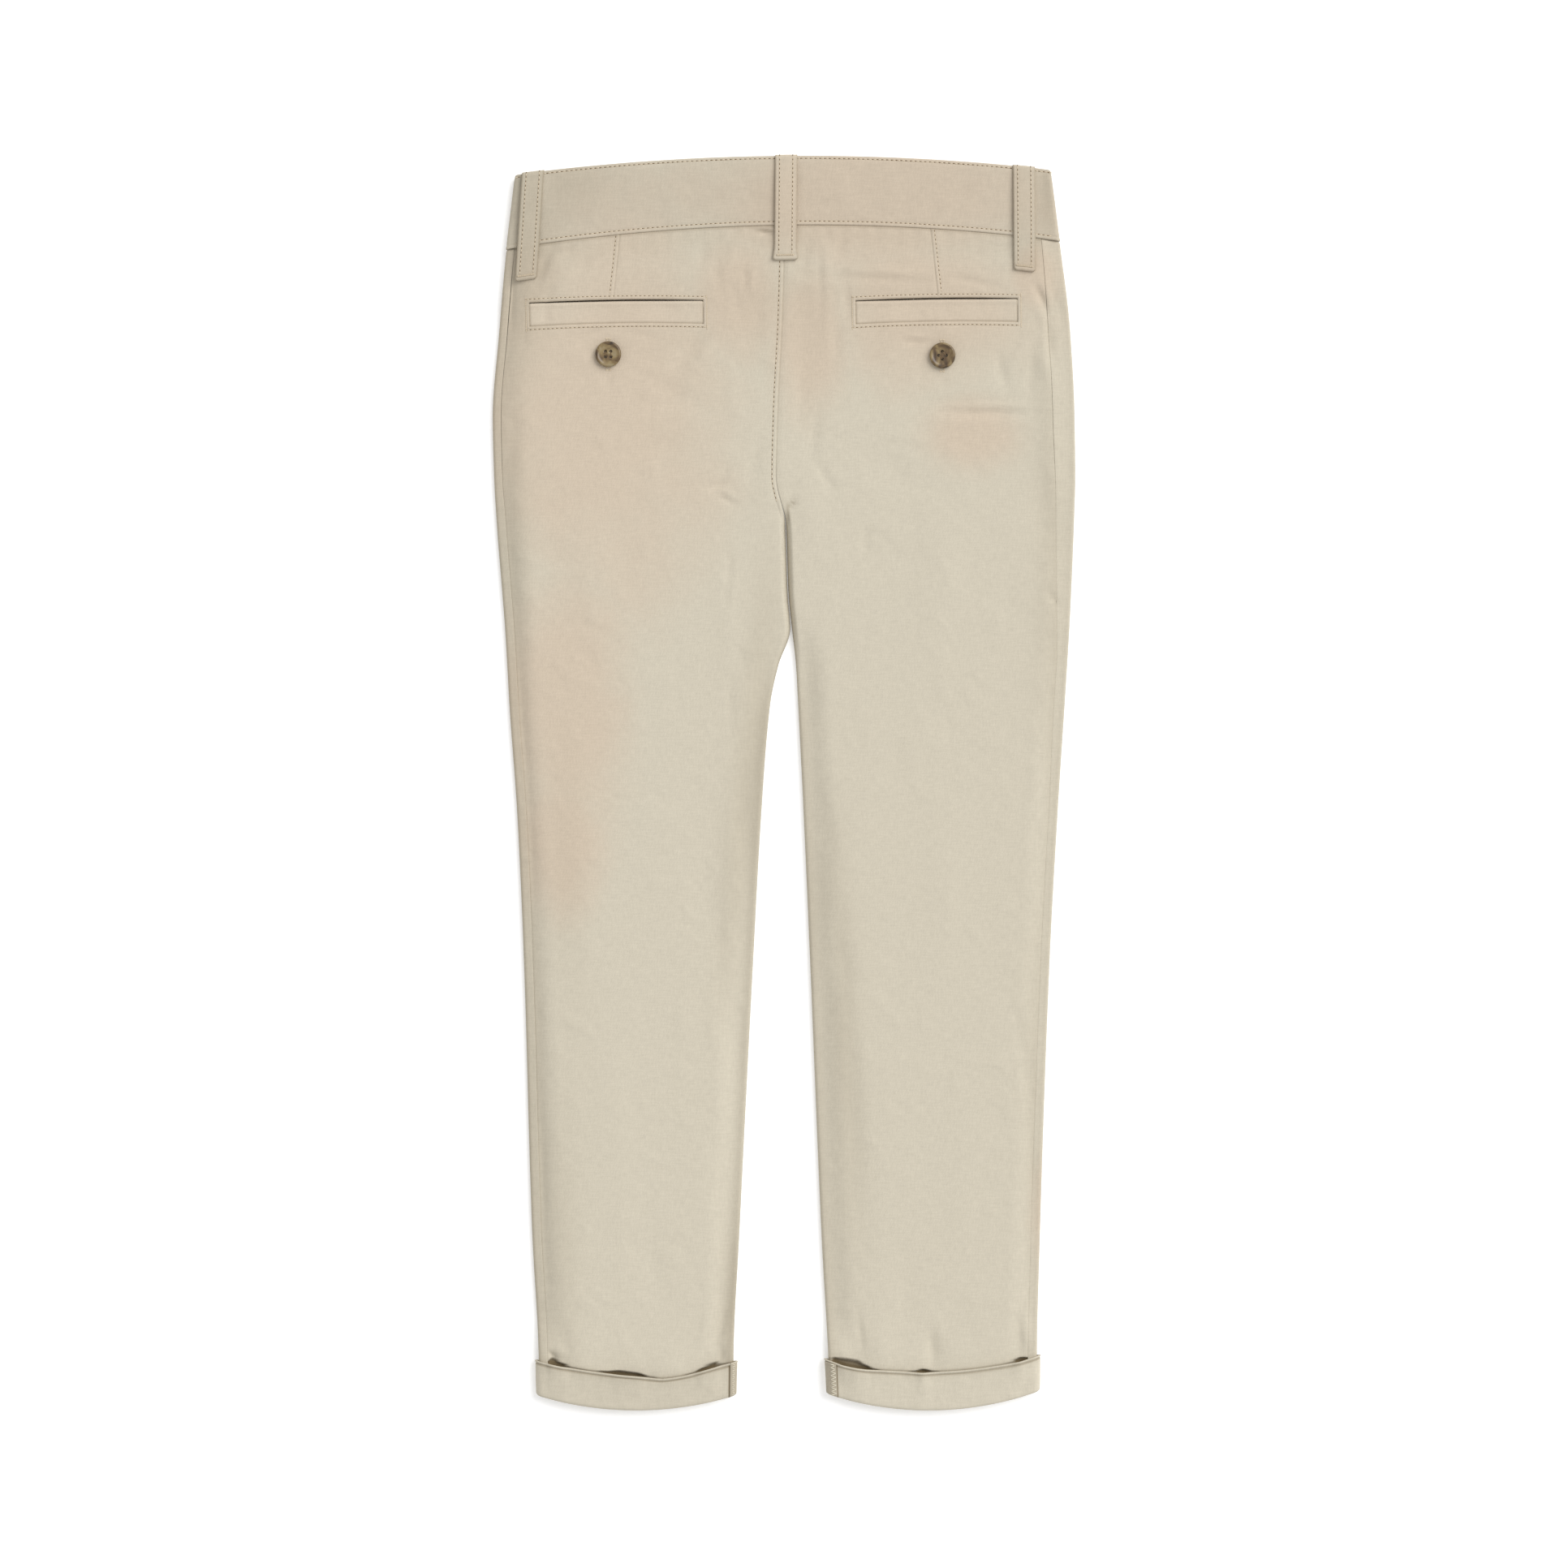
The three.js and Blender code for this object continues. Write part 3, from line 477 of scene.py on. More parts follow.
    def place(self, down: Numbers, column: Column) -> tuple[Numbers, Numbers]:
        """Points on the garment's outside down one column, and the directions out of the cloth.

        Args:
            down: The sections, as an array.
            column: The line down the leg.

        Returns:
            Two arrays of as many rows as `down`, with x, y and z.
        """
        sign, face = self.side.sign, -1 if column.under else 1
        height = self.under if column.under else self.top
        if column.where is Where.FOLD:
            angle = math.radians(column.value)
            radius = np.where(down < 0, LAY.band_fold_radius, LAY.fold_radius)
            out_x, out_z = -sign * math.cos(angle), math.sin(angle)
            x = self.outer(down) - sign * radius + radius * out_x
            z = LIFT.eased(down) + radius * (1 + out_z)
            out_x, out_z = np.full_like(x, out_x), np.full_like(x, out_z)
        elif column.where is Where.CURL:
            angle = math.radians(column.value)
            x = self.inner(down) + sign * LAY.fold_radius * (1 - math.cos(angle))
            lean = (math.pi / 2 - angle) * self.leg_share(down)
            z = height(down, x)
            out_x, out_z = -sign * np.sin(lean), np.cos(lean) * face
        else:
            inward = column.value
            if column.where is Where.FROM_OUTER:
                inward = self.width(down) - column.value
            x = self.inner(down) + sign * inward
            z = height(down, x)
            slope = 0 if column.under else np.arctan(self.top(down, x + 0.5) - self.top(down, x - 0.5))
            out_x, out_z = -np.sin(slope) + 0 * x, np.cos(slope) * face + 0 * x
        bend = self.section_y(down, x + 0.5) - self.section_y(down, x - 0.5)
        points = np.stack([x, self.section_y(down, x), z], axis=-1)
        return points, np.stack([out_x, out_x * bend, out_z], axis=-1)


LEGS = {
    Side.LEFT: Leg(
        side=Side.LEFT,
        hem_bow=7.5,
        hem_tilt=0,
        rows=(
            (-38, -145.6, 0.6, 4.5), (0, -150.5, 0.2, 4.5), (50, -154.7, -1.1, 4.5),
            (100, -158.0, -3.6, 4.5), (136, -157.2, -4.4, 4.5), (161, -155.8, 0.6, 5),
            (200, -152.7, 2.0, 5), (218, -151.3, 3.4, 5), (238, -150.1, -3.1, 5),
            (260, -148.9, -7.6, 5), (320, -144.6, -12.4, 5), (400, -141.0, -16.8, 5),
            (540, -136.8, -23.9, 5), (610, -133.2, -27.2, 5), (642, -132.4, -27.6, 5),
        ),
        cuff_rows=(
            (0, 19.8, 0.3, 0), (0.06, 19.7, 0.5, 0.5), (0.1, 19.4, 1.7, 3.4), (0.15, 18.9, 1.9, 1.6),
            (0.21, 18.0, 0.5, 0.4), (0.3, 17.2, 0.2, 0), (0.36, 17.0, 0.2, 0), (0.43, 17.9, 0.6, 0.4),
            (0.5, 18.9, 2.0, 1.7), (0.58, 19.5, 2.3, 2.2), (0.66, 19.9, 1.0, 0.9),
            (0.72, 20.1, 0.4, 0.2), (0.84, 20.4, 0.5, 0.3), (0.89, 20.3, 1.9, 2.0),
            (0.935, 20.4, 2.2, 4.4), (0.965, 20.4, 0.7, 0.5), (1, 20.4, 0.2, 0),
        ),
    ),
    Side.RIGHT: Leg(
        side=Side.RIGHT,
        hem_bow=9.0,
        hem_tilt=0.8,
        rows=(
            (-38, 144.3, 0.9, 9), (0, 149.4, 0.5, 10), (50, 155.2, -0.8, 12), (100, 157.6, -3.3, 12),
            (136, 158.0, -4.1, 11), (161, 157.3, 1.0, 10), (200, 155.7, 2.5, 8), (218, 154.8, 4.3, 7),
            (238, 153.6, 6.5, 6), (260, 152.2, 7.7, 6), (320, 148.3, 10.7, 5), (400, 144.0, 14.2, 5),
            (540, 139.0, 20.0, 5), (610, 137.2, 23.6, 5), (642, 136.8, 24.8, 5),
        ),
        cuff_rows=(
            (0, 20.6, 0.3, 1.5), (0.03, 20.2, 1.7, 3.2), (0.08, 19.7, 2.9, 4.7), (0.13, 19.7, 2.9, 5.0),
            (0.17, 19.8, 2.0, 2.6), (0.21, 20.1, 0.8, 0.6), (0.26, 20.6, 0.3, 0), (0.36, 21.0, 0.3, 0),
            (0.41, 20.9, 0.8, 0.5), (0.45, 20.8, 2.0, 1.9), (0.5, 21.0, 0.7, 0.4), (0.56, 21.2, 0.3, 0),
            (0.8, 21.3, 0.2, 0), (0.87, 21.1, 0.4, 0.3), (0.92, 21.0, 1.9, 2.5),
            (0.965, 21.2, 0.8, 0.8), (1, 21.4, 0.2, 0),
        ),
    ),
}


# Sizes of the trimmings, which the frame has too


@dataclass(frozen=True)
class ButtonSizes:
    """A sewn-through four-hole button, 14 mm across."""

    radius: float = 7.0
    thickness: float = 2.4
    dish: float = 0.5
    hole: float = 0.85
    spread: float = 2.05


BUTTON = ButtonSizes()
WAIST_BUTTON_X = -9.6
WAIST_BUTTON_DOWN = -19.0


def waist_button_y() -> float:
    """y of the waist button, on the middle of the band's front."""
    return float(LEGS[Side.LEFT].section_y(WAIST_BUTTON_DOWN, WAIST_BUTTON_X))


@dataclass(frozen=True)
class Pocket:
    """A back pocket: the middle, length and slope of its welt, its bow, its dart and its button."""

    side: Side
    x: float
    y: float
    width: float
    slope: float
    bow: float
    dart_top: float
    dart_foot: float
    button: tuple[float, float]
    button_turn: float
    height: float = 12.6
    mouth: float = 0.8
    frame_inset: float = 1.9

    @property
    def half(self) -> tuple[float, float]:
        """Half the width and half the height of the window."""
        return self.width / 2, self.height / 2

    def bowed(self, u: Numbers) -> Numbers:
        """How much lower the pocket lies at u than at its middle."""
        return self.bow * (np.asarray(u) / (self.width / 2)) ** 2

    def point(self, u: Numbers, v: Numbers) -> tuple[Numbers, Numbers]:
        """Plan point of the pocket's own coordinates.

        Args:
            u: Distance along the welt from its middle.
            v: Distance up the welt from its middle.

        Returns:
            x and y.
        """
        turn = math.radians(self.slope)
        lowered = np.asarray(v) - self.bowed(u)
        x = self.x + u * math.cos(turn) - lowered * math.sin(turn)
        return x, self.y + u * math.sin(turn) + lowered * math.cos(turn)

    def beyond(self, x: Numbers, y: Numbers) -> Numbers:
        """How far plan points lie outside the window, or below zero inside it.

        Args:
            x: The points' x.
            y: The points' y.

        Returns:
            The distance of each.
        """
        turn = math.radians(self.slope)
        u = (x - self.x) * math.cos(turn) + (y - self.y) * math.sin(turn)
        v = (y - self.y) * math.cos(turn) - (x - self.x) * math.sin(turn) + self.bowed(u)
        beyond_u, beyond_v = np.abs(u) - self.width / 2, np.abs(v) - self.height / 2
        corner = (beyond_u > 0) & (beyond_v > 0)
        return np.where(corner, np.hypot(beyond_u, beyond_v), np.maximum(beyond_u, beyond_v))


POCKETS = {
    Side.LEFT: Pocket(Side.LEFT, -90.8, 255.4, 94, 0.9, 1.0, -88.9, -92.2, (-95.1, 232.1), 0),
    Side.RIGHT: Pocket(Side.RIGHT, 82.6, 256.4, 87.5, 0.8, 0.9, 79.3, 83.1, (85.7, 231.4), 45),
}
SIDE_SHADE = {Side.LEFT: 0.16, Side.RIGHT: 0.08}  # how much painted shade the folded sides get
CUFF_SHADE = {Side.LEFT: 0.07, Side.RIGHT: 0.0}
INSEAM_FLAPS = {Side.LEFT: 1.9, Side.RIGHT: 4.2}  # how much of the inseam's allowance shows
DART_FOOT_GAP = 8.6  # from the pocket's middle up to the end of its dart


# Finishes


def linear(hex_colour: str) -> tuple[float, float, float, float]:
    """An sRGB colour such as "#d3c9b5" as linear red, green, blue and an alpha of 1.

    Args:
        hex_colour: The colour, with its hash sign.

    Returns:
        The four channels.
    """
    channels = [int(hex_colour[i : i + 2], 16) / 255 for i in (1, 3, 5)]
    low_high = [c / 12.92 if c <= 0.04045 else ((c + 0.055) / 1.055) ** 2.4 for c in channels]
    return (*low_high, 1.0)


def set_inputs(node: bpy.types.Node, values: dict[str | int, object]) -> None:
    """Sets a node's input sockets, by name or number."""
    for socket, value in values.items():
        node.inputs[socket].default_value = value


def add_node(
    tree: bpy.types.NodeTree,
    kind: str,
    values: dict[str | int, object] | None = None,
    links: dict[str | int, bpy.types.NodeSocket] | None = None,
    **settings: object,
) -> bpy.types.Node:
    """Adds a shader node to a tree.

    Args:
        tree: The material's node tree.
        kind: The node's type without its first word, such as "Bump".
        values: Values of its input sockets, by name or number.
        links: Output sockets that feed its inputs, by the input's name or number.
        **settings: Attributes of the node itself.

    Returns:
        The node.
    """
    node = tree.nodes.new("ShaderNode" + kind)
    for name, value in settings.items():
        setattr(node, name, value)
    set_inputs(node, values or {})
    for socket, source in (links or {}).items():
        tree.links.new(source, node.inputs[socket])
    return node


class Start(NamedTuple):
    """A material that has only its shader yet, and the object's own coordinates in its tree."""

    material: bpy.types.Material
    tree: bpy.types.NodeTree
    shader: bpy.types.Node
    place: bpy.types.NodeSocket


def start_material(name: str) -> Start:
    """Starts a material.

    Args:
        name: What the real material is.

    Returns:
        The material with the parts that a finish builds on.
    """
    material = bpy.data.materials.new(name)
    material.use_nodes = True
    tree = material.node_tree
    place = add_node(tree, "TexCoord").outputs["Object"]
    return Start(material, tree, tree.nodes["Principled BSDF"], place)


class WarmPatch(NamedTuple):
    """A part of the cloth that faded to a warmer beige: its middle, radius and stretch along y."""

    x: float
    y: float
    radius: float
    stretch: float


WARM_PATCHES = (
    (-97, 208, 71, 1.7), (-118, 46, 40, 2.0), (-122, -32, 25, 1.8), (52, 318, 112, 0.42),
    (-26, 262, 30, 1.2), (14, 240, 24, 2.0), (80, 257, 62, 0.74), (101, 190, 30, 0.8),
    (135, 274, 18, 1.2), (150, -230, 16, 3.0),
)


@dataclass(frozen=True)
class CottonTwill:
    """Cotton twill, garment dyed and brushed: matt, with a fine diagonal rib and uneven yarns.

    The eye gets a pale khaki that turns to a warmer beige over the seat and the outer thigh, faint
    flecks along both yarns and small crumples. Painted shade darkens it to an olive brown along seams,
    creases and folded edges and in hollows.
    """

    name: str = "cotton twill, garment dyed and brushed"
    warm: str = "#c9b9a5"
    plain: str = "#c9c1af"
    # painted shade: the colour that the "shade" attribute mixes into the cloth
    painted_shade_colour: str = "#75664c"
    warmest: float = 0.85
    tone: float = 1.0
    yarn_dark: float = 0.955
    rib_mm: float = 1.3  # a real rib is 0.6 mm, which is finer than a pixel of the picture
    rib_turn: float = 28.0  # degrees from the weft
    nap_per_mm: float = 1.4
    yarn_mm: float = 0.8
    slub_length_mm: float = 5.0
    crumple_mm: float = 16.0
    roughness: float = 0.9

    def make(self) -> bpy.types.Material:
        """Builds the material.

        Returns:
            The material.
        """
        start = start_material(self.name)
        tree = start.tree
        tones = {6: linear(self.plain), 7: linear(self.warm)}
        base = add_node(tree, "Mix", tones, {0: self._faded(start)}, data_type="RGBA").outputs[2]
        for yarn, (across, along) in enumerate(((1, 0), (0, 1))):
            base = self._flecks(start, base, yarn, across, along)
        # Painted shade: each point's "shade" attribute mixes the cloth towards the painted shade colour
        # along seams, creases, folded edges and hollows.
        seams = add_node(tree, "Attribute", attribute_name="shade").outputs["Fac"]
        links = {0: seams, 6: base}
        colour = add_node(tree, "Mix", {7: linear(self.painted_shade_colour)}, links, data_type="RGBA").outputs[2]
        tone = {0: 1.0, 7: (self.tone, self.tone, self.tone, 1)}
        toned = add_node(tree, "Mix", tone, {6: colour}, data_type="RGBA", blend_type="MULTIPLY")
        tree.links.new(toned.outputs[2], start.shader.inputs["Base Color"])
        tree.links.new(self._surface(start), start.shader.inputs["Normal"])
        sheen = {"Sheen Weight": 0.1, "Sheen Roughness": 0.5}
        set_inputs(start.shader, {"Roughness": self.roughness, "Specular IOR Level": 0.2, **sheen})
        return start.material

    def _faded(self, start: Start) -> bpy.types.NodeSocket:
        """How far the cloth has faded to the warmer tone.

        Args:
            start: The material.

        Returns:
            The socket that gives it.
        """
        tree = start.tree
        noise = {"Scale": 14.0, "Detail": 5.0, "Roughness": 0.6}
        wander = add_node(tree, "TexNoise", noise, {"Vector": start.place}).outputs["Fac"]
        total = add_node(tree, "Value").outputs[0]
        for patch in map(WarmPatch._make, WARM_PATCHES):
            radius, squeeze = patch.radius * MM, (1, 1 / patch.stretch, 0)
            middle = (patch.x * MM, patch.y * MM / patch.stretch, 0)
            squeezed = add_node(tree, "VectorMath", {1: squeeze}, {0: start.place}, operation="MULTIPLY")
            away = add_node(
                tree, "VectorMath", {1: middle}, {0: squeezed.outputs[0]}, operation="DISTANCE"
            )
            links = {0: wander, 2: away.outputs["Value"]}
            strayed = add_node(tree, "Math", {1: radius * 1.1}, links, operation="MULTIPLY_ADD")
            fade = {"From Min": radius * 0.9, "From Max": radius * 1.85}
            fade |= {"To Min": self.warmest, "To Max": 0.0}
            links = {"Value": strayed.outputs[0]}
            inside = add_node(tree, "MapRange", fade, links, interpolation_type="SMOOTHSTEP")
            links = {0: total, 1: inside.outputs["Result"]}
            total = add_node(tree, "Math", links=links, operation="MAXIMUM").outputs[0]
        return total

    def _flecks(
        self, start: Start, base: bpy.types.NodeSocket, yarn: int, across: int, along: int
    ) -> bpy.types.NodeSocket:
        """Darkens and lightens single yarns of the warp or the weft for short lengths.

        Args:
            start: The material.
            base: The colour so far.
            yarn: 0 for the warp, 1 for the weft.
            across: 1 where the yarns are counted along x.
            along: 1 where they are counted along y.

        Returns:
            The new colour.
        """
        tree = start.tree
        fine, long = 1 / (self.yarn_mm * MM), 1 / (self.slub_length_mm * MM)
        scale = (fine * across + long * along, long * across + fine * along, 300.0)
        lay = {"Scale": scale, "Location": (yarn * 3.7, yarn * 1.9, 0)}
        yarns = add_node(tree, "Mapping", lay, {"Vector": start.place}).outputs[0]
        noise = {"Scale": 1.0, "Detail": 3.0, "Roughness": 0.65}
        slubs = add_node(tree, "TexNoise", noise, {"Vector": yarns}).outputs["Fac"]
        dark = self.yarn_dark
        tones = {"From Min": 0.3, "From Max": 0.7, "To Min": dark, "To Max": 2 - dark}
        tone = add_node(tree, "MapRange", tones, {"Value": slubs}).outputs["Result"]
        links = {6: base, 7: tone}
        return add_node(tree, "Mix", {0: 1.0}, links, data_type="RGBA", blend_type="MULTIPLY").outputs[2]

    def _surface(self, start: Start) -> bpy.types.NodeSocket:
        """The rib, the nap and the small crumples, as one bumped normal.

        Args:
            start: The material.

        Returns:
            The normal.
        """
        tree, place = start.tree, {"Vector": start.place}
        noise = {"Scale": 1 / (self.crumple_mm * MM), "Detail": 3.0, "Roughness": 0.5, "Distortion": 0.4}
        crumples = add_node(tree, "TexNoise", noise, place, noise_type="RIDGED_MULTIFRACTAL")
        links = {"Height": crumples.outputs["Fac"]}
        soft = add_node(tree, "Bump", {"Strength": 0.42, "Distance": 0.0014}, links).outputs[0]
        turned = add_node(tree, "Mapping", {"Rotation": (0, 0, math.radians(self.rib_turn))}, place)
        wave = {"Scale": 2 * math.pi / (20 * self.rib_mm * MM), "Distortion": 1.2, "Detail": 2.0}
        links = {"Vector": turned.outputs[0]}
        rib = add_node(tree, "TexWave", wave, links, bands_direction="X", wave_profile="SIN")
        links = {"Height": rib.outputs["Fac"], "Normal": soft}
        ribbed = add_node(tree, "Bump", {"Strength": 0.15, "Distance": 0.0002}, links).outputs[0]
        noise = {"Scale": self.nap_per_mm / MM, "Detail": 2.0, "Roughness": 0.6}
        nap = add_node(tree, "TexNoise", noise, place).outputs["Fac"]
        links = {"Height": nap, "Normal": ribbed}
        return add_node(tree, "Bump", {"Strength": 0.4, "Distance": 0.00018}, links).outputs[0]


@dataclass(frozen=True)
class SewingThread:
    """Spun polyester sewing thread, twisted: near the cloth's own tone and slightly glossy."""

    name: str
    colour: str
    roughness: float = 0.6
    ply_mm: float = 0.35

    def make(self) -> bpy.types.Material:
        """Builds the material.

        Returns:
            The material.
        """
        start = start_material(self.name)
        tree = start.tree
        noise = {"Scale": 1 / (self.ply_mm * MM), "Detail": 1.0}
        plies = add_node(tree, "TexNoise", noise, {"Vector": start.place}).outputs["Fac"]
        tones = {"From Min": 0.3, "From Max": 0.7, "To Min": 0.88, "To Max": 1.08}
        tone = add_node(tree, "MapRange", tones, {"Value": plies}).outputs["Result"]
        values = {0: 1.0, 6: linear(self.colour)}
        colour = add_node(tree, "Mix", values, {7: tone}, data_type="RGBA", blend_type="MULTIPLY")
        tree.links.new(colour.outputs[2], start.shader.inputs["Base Color"])
        set_inputs(start.shader, {"Roughness": self.roughness})
        return start.material


@dataclass(frozen=True)
class HornResin:
    """Polyester resin cast and turned to look like horn: mottled brown, darker in patches, satin."""

    name: str = "horn-look polyester resin, turned and tumbled"
    tones: tuple[tuple[float, str], ...] = (
        (0.33, "#2a1c12"),
        (0.44, "#604b30"),
        (0.56, "#89754f"),
        (0.7, "#978b6f"),
    )
    patch_mm: float = 9.0
    turning_per_mm: float = 0.9

    def make(self) -> bpy.types.Material:
        """Builds the material.

        Returns:
            The material.
        """
        start = start_material(self.name)
        tree, place = start.tree, {"Vector": start.place}
        noise = {"Scale": 1 / (self.patch_mm * MM), "Detail": 3.0, "Roughness": 0.55, "Distortion": 0.9}
        patches = add_node(tree, "TexNoise", noise, place).outputs["Fac"]
        mottled = add_node(tree, "ValToRGB", links={"Fac": patches})
        elements = mottled.color_ramp.elements
        while len(elements) < len(self.tones):
            elements.new(0.5)
        for element, (position, colour) in zip(elements, self.tones):
            element.position, element.color = position, linear(colour)
        tree.links.new(mottled.outputs["Color"], start.shader.inputs["Base Color"])
        turned = add_node(tree, "TexNoise", {"Scale": self.turning_per_mm / MM, "Detail": 2.0}, place)
        links = {"Height": turned.outputs["Fac"]}
        surface = add_node(tree, "Bump", {"Strength": 0.15, "Distance": 0.0001}, links)
        tree.links.new(surface.outputs[0], start.shader.inputs["Normal"])
        set_inputs(start.shader, {"Roughness": 0.34, "IOR": 1.54})
        return start.material


@dataclass(frozen=True)
class LightTable:
    """Opal acrylic, lit from below: an even matt white that keeps shadows on it faint."""

    name: str = "opal acrylic, lit from below"
    colour: str = "#fbfbfb"
    glow: float = 0.23
    grain_per_mm: float = 0.7

    def make(self) -> bpy.types.Material:
        """Builds the material.

        Returns:
            The material.
        """
        start = start_material(self.name)
        noise = {"Scale": self.grain_per_mm / MM, "Detail": 2.0}
        grain = add_node(start.tree, "TexNoise", noise, {"Vector": start.place}).outputs["Fac"]
        surface = add_node(start.tree, "Bump", {"Strength": 0.05, "Distance": 0.0001}, {"Height": grain})
        start.tree.links.new(surface.outputs[0], start.shader.inputs["Normal"])
        white = {"Base Color": linear(self.colour), "Emission Color": linear(self.colour)}
        set_inputs(start.shader, {**white, "Emission Strength": self.glow})
        set_inputs(start.shader, {"Roughness": 0.95, "Specular IOR Level": 0.1})
        return start.material


@dataclass
class Finishes:
    """Every finish of the garment, made once."""

    cloth: bpy.types.Material
    band_cloth: bpy.types.Material
    thread: bpy.types.Material
    needle_hole: bpy.types.Material
    overlock: bpy.types.Material
    horn: bpy.types.Material

    @classmethod
    def make(cls) -> "Finishes":
        """Builds all materials.

        Returns:
            The finishes.
        """
        return cls(
            cloth=CottonTwill().make(),
            band_cloth=CottonTwill("cotton twill over a fused interlining", tone=0.945).make(),
            thread=SewingThread("topstitching thread, spun polyester", "#d6c6ac").make(),
            # Painted shade of the needle holes; the same dark finish colours the thread through the
            # buttons.
            needle_hole=SewingThread("painted needle hole shade, and button thread", "#7a6448", 0.9).make(),
            overlock=SewingThread("overlocking thread, textured cream", "#e2dbc8", 0.7, 0.5).make(),
            horn=HornResin().make(),
        )


# Making pieces


def set_shade(bm: bmesh.types.BMesh, shades: Numbers) -> None:
    """Gives every point of a bmesh its share of painted shade, which darkens seams, creases and folded
    edges.

    Args:
        bm: The shape.
        shades: The share for each of its points, in their order.
    """
    layer = bm.verts.layers.float.get("shade") or bm.verts.layers.float.new("shade")
    for vert, shade in zip(bm.verts, shades.tolist()):
        vert[layer] = shade


def face_towards(bm: bmesh.types.BMesh, number: int, out: Sequence[float]) -> None:
    """Turns a whole sheet over if one of its faces looks away from the direction out of the cloth.

    Args:
        bm: The sheet.
        number: The face's number.
        out: The direction out of the cloth.
    """
    bm.normal_update()
    bm.faces.ensure_lookup_table()
    if bm.faces[number].normal.dot(Vector(out)) < 0:
        bmesh.ops.reverse_faces(bm, faces=bm.faces[:])


def grid_sheet(points: Numbers, shade: Numbers | float = 0.0) -> bmesh.types.BMesh:
    """A sheet of quads through a grid of points.

    Args:
        points: Rows by columns by x, y and z, in millimetres.
        shade: How much painted shade each point takes, at seams, creases and folded edges.

    Returns:
        The sheet, as an open bmesh.
    """
    rows, columns = points.shape[:2]
    bm = bmesh.new()
    bmesh.ops.create_grid(bm, x_segments=columns - 1, y_segments=rows - 1, size=0.5)
    for vert, point in zip(bm.verts, points.reshape(-1, 3)):
        vert.co = point
    set_shade(bm, np.broadcast_to(shade, (rows, columns)).ravel())
    return bm


def closed_sheet(points: Numbers, shade: Numbers | float = 0.0, ring: bool = False) -> bmesh.types.BMesh:
    """A solid swept through outlines, welded to itself, with its faces outwards.

    Args:
        points: Outlines by their points by x, y and z, in millimetres.
        shade: How much painted shade each point takes, at seams, creases and folded edges.
        ring: Whether the last outline joins the first; otherwise both ends are capped.

    Returns:
        The solid.
    """
    shades = np.broadcast_to(shade, points.shape[:2])
    for axis in (0, 1) if ring else (1,):
        points, shades = (np.concatenate([a, np.take(a, [0], axis)], axis) for a in (points, shades))
    bm = grid_sheet(points, shades)
    bmesh.ops.remove_doubles(bm, verts=bm.verts[:], dist=0.002)
    open_edges = [edge for edge in bm.edges if edge.is_boundary]
    if open_edges:
        bmesh.ops.holes_fill(bm, edges=open_edges, sides=0)
    bmesh.ops.recalc_face_normals(bm, faces=bm.faces[:])
    return bm


def centres(bm: bmesh.types.BMesh, origin: Vector) -> list[tuple[bmesh.types.BMFace, Vector]]:
    """Every face of a bmesh with the way to its middle from an origin."""
    return [(face, face.calc_center_median() - origin) for face in bm.faces]


def cut(bm: bmesh.types.BMesh, faces: Sequence[bmesh.types.BMFace], at: Vector, across: Vector) -> None:
    """Divides faces along a plane, without parting them.

    Args:
        bm: The sheet.
        faces: The faces that the plane may divide.
        at: A point of the plane.
        across: The plane's normal.
    """
    edges = dict.fromkeys(edge for face in faces for edge in face.edges)
    verts = dict.fromkeys(vert for face in faces for vert in face.verts)
    bmesh.ops.bisect_plane(bm, geom=[*faces, *edges, *verts], dist=0.01, plane_co=at, plane_no=across)


def finish_piece(
    name: str,
    bm: bmesh.types.BMesh,
    materials: Sequence[bpy.types.Material],
    node: str = "",
) -> bpy.types.Object:
    """Turns a bmesh into a finished piece of the garment, in metres, riding on its one body.

    Args:
        name: The piece's name.
        bm: Its shape in millimetres, freed here.
        materials: Its finishes, in the order of its faces' material numbers.
        node: The frame's node that it replaces, if any.

    Returns:
        The piece's object, at the origin.
    """
    mesh = bpy.data.meshes.new(name)
    bm.to_mesh(mesh)
    bm.free()
    mesh.transform(Matrix.Scale(MM, 4))
    mesh.polygons.foreach_set("use_smooth", [True] * len(mesh.polygons))
    for material in materials:
        mesh.materials.append(material)
    piece = bpy.data.objects.new(name, mesh)
    bpy.context.scene.collection.objects.link(piece)
    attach(piece, BODY)
    if node:
        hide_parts(node)
    log.info("%s: %d faces", name, len(mesh.polygons))
    return piece


@dataclass(frozen=True)
class Cut:
    """The flat cut of a laid piece: its width, its length and how much of their product it fills."""

    width: float
    length: float
    share: float = 1.0


def cloth_piece(
    name: str,
    bm: bmesh.types.BMesh,
    cloth: bpy.types.Material,
    node: str = "",
    wall: float = 0.0,
) -> bpy.types.Object:
    """Finishes a piece of cloth.

    Args:
        name: The piece's name.
        bm: Its shape in millimetres, freed here.
        cloth: Its finish.
        node: The frame's node that it replaces, if any.
        wall: The cloth's thickness, given inwards to an open sheet.

    Returns:
        The piece's object.
    """
    piece = finish_piece(name, bm, [cloth], node)
    if wall:
        thick = piece.modifiers.new("cloth", "SOLIDIFY")
        thick.thickness = wall * MM
        thick.offset = -1
        thick.use_rim = True
    return piece


# Sewing


@dataclass(frozen=True)
class Stitch:
    """One kind of machine stitch: its pitch, the thread seen between two holes, and its thickness."""

    pitch: float = 2.6  # a real one is usually about 2.2 mm, which blurs in the picture
    shown: float = 1.6
    thread: float = 0.5
    # hole and hole_width size the dark bead of painted shade at each needle hole
    hole: float = 1.1
    hole_width: float = 0.6


TOPSTITCH = Stitch()
FINE_STITCH = Stitch(pitch=2.4, shown=1.5, thread=0.46, hole=0.95, hole_width=0.52)
BAR_TACK = Stitch(pitch=0.7, shown=0.9, thread=0.42, hole=0.3, hole_width=0.3)


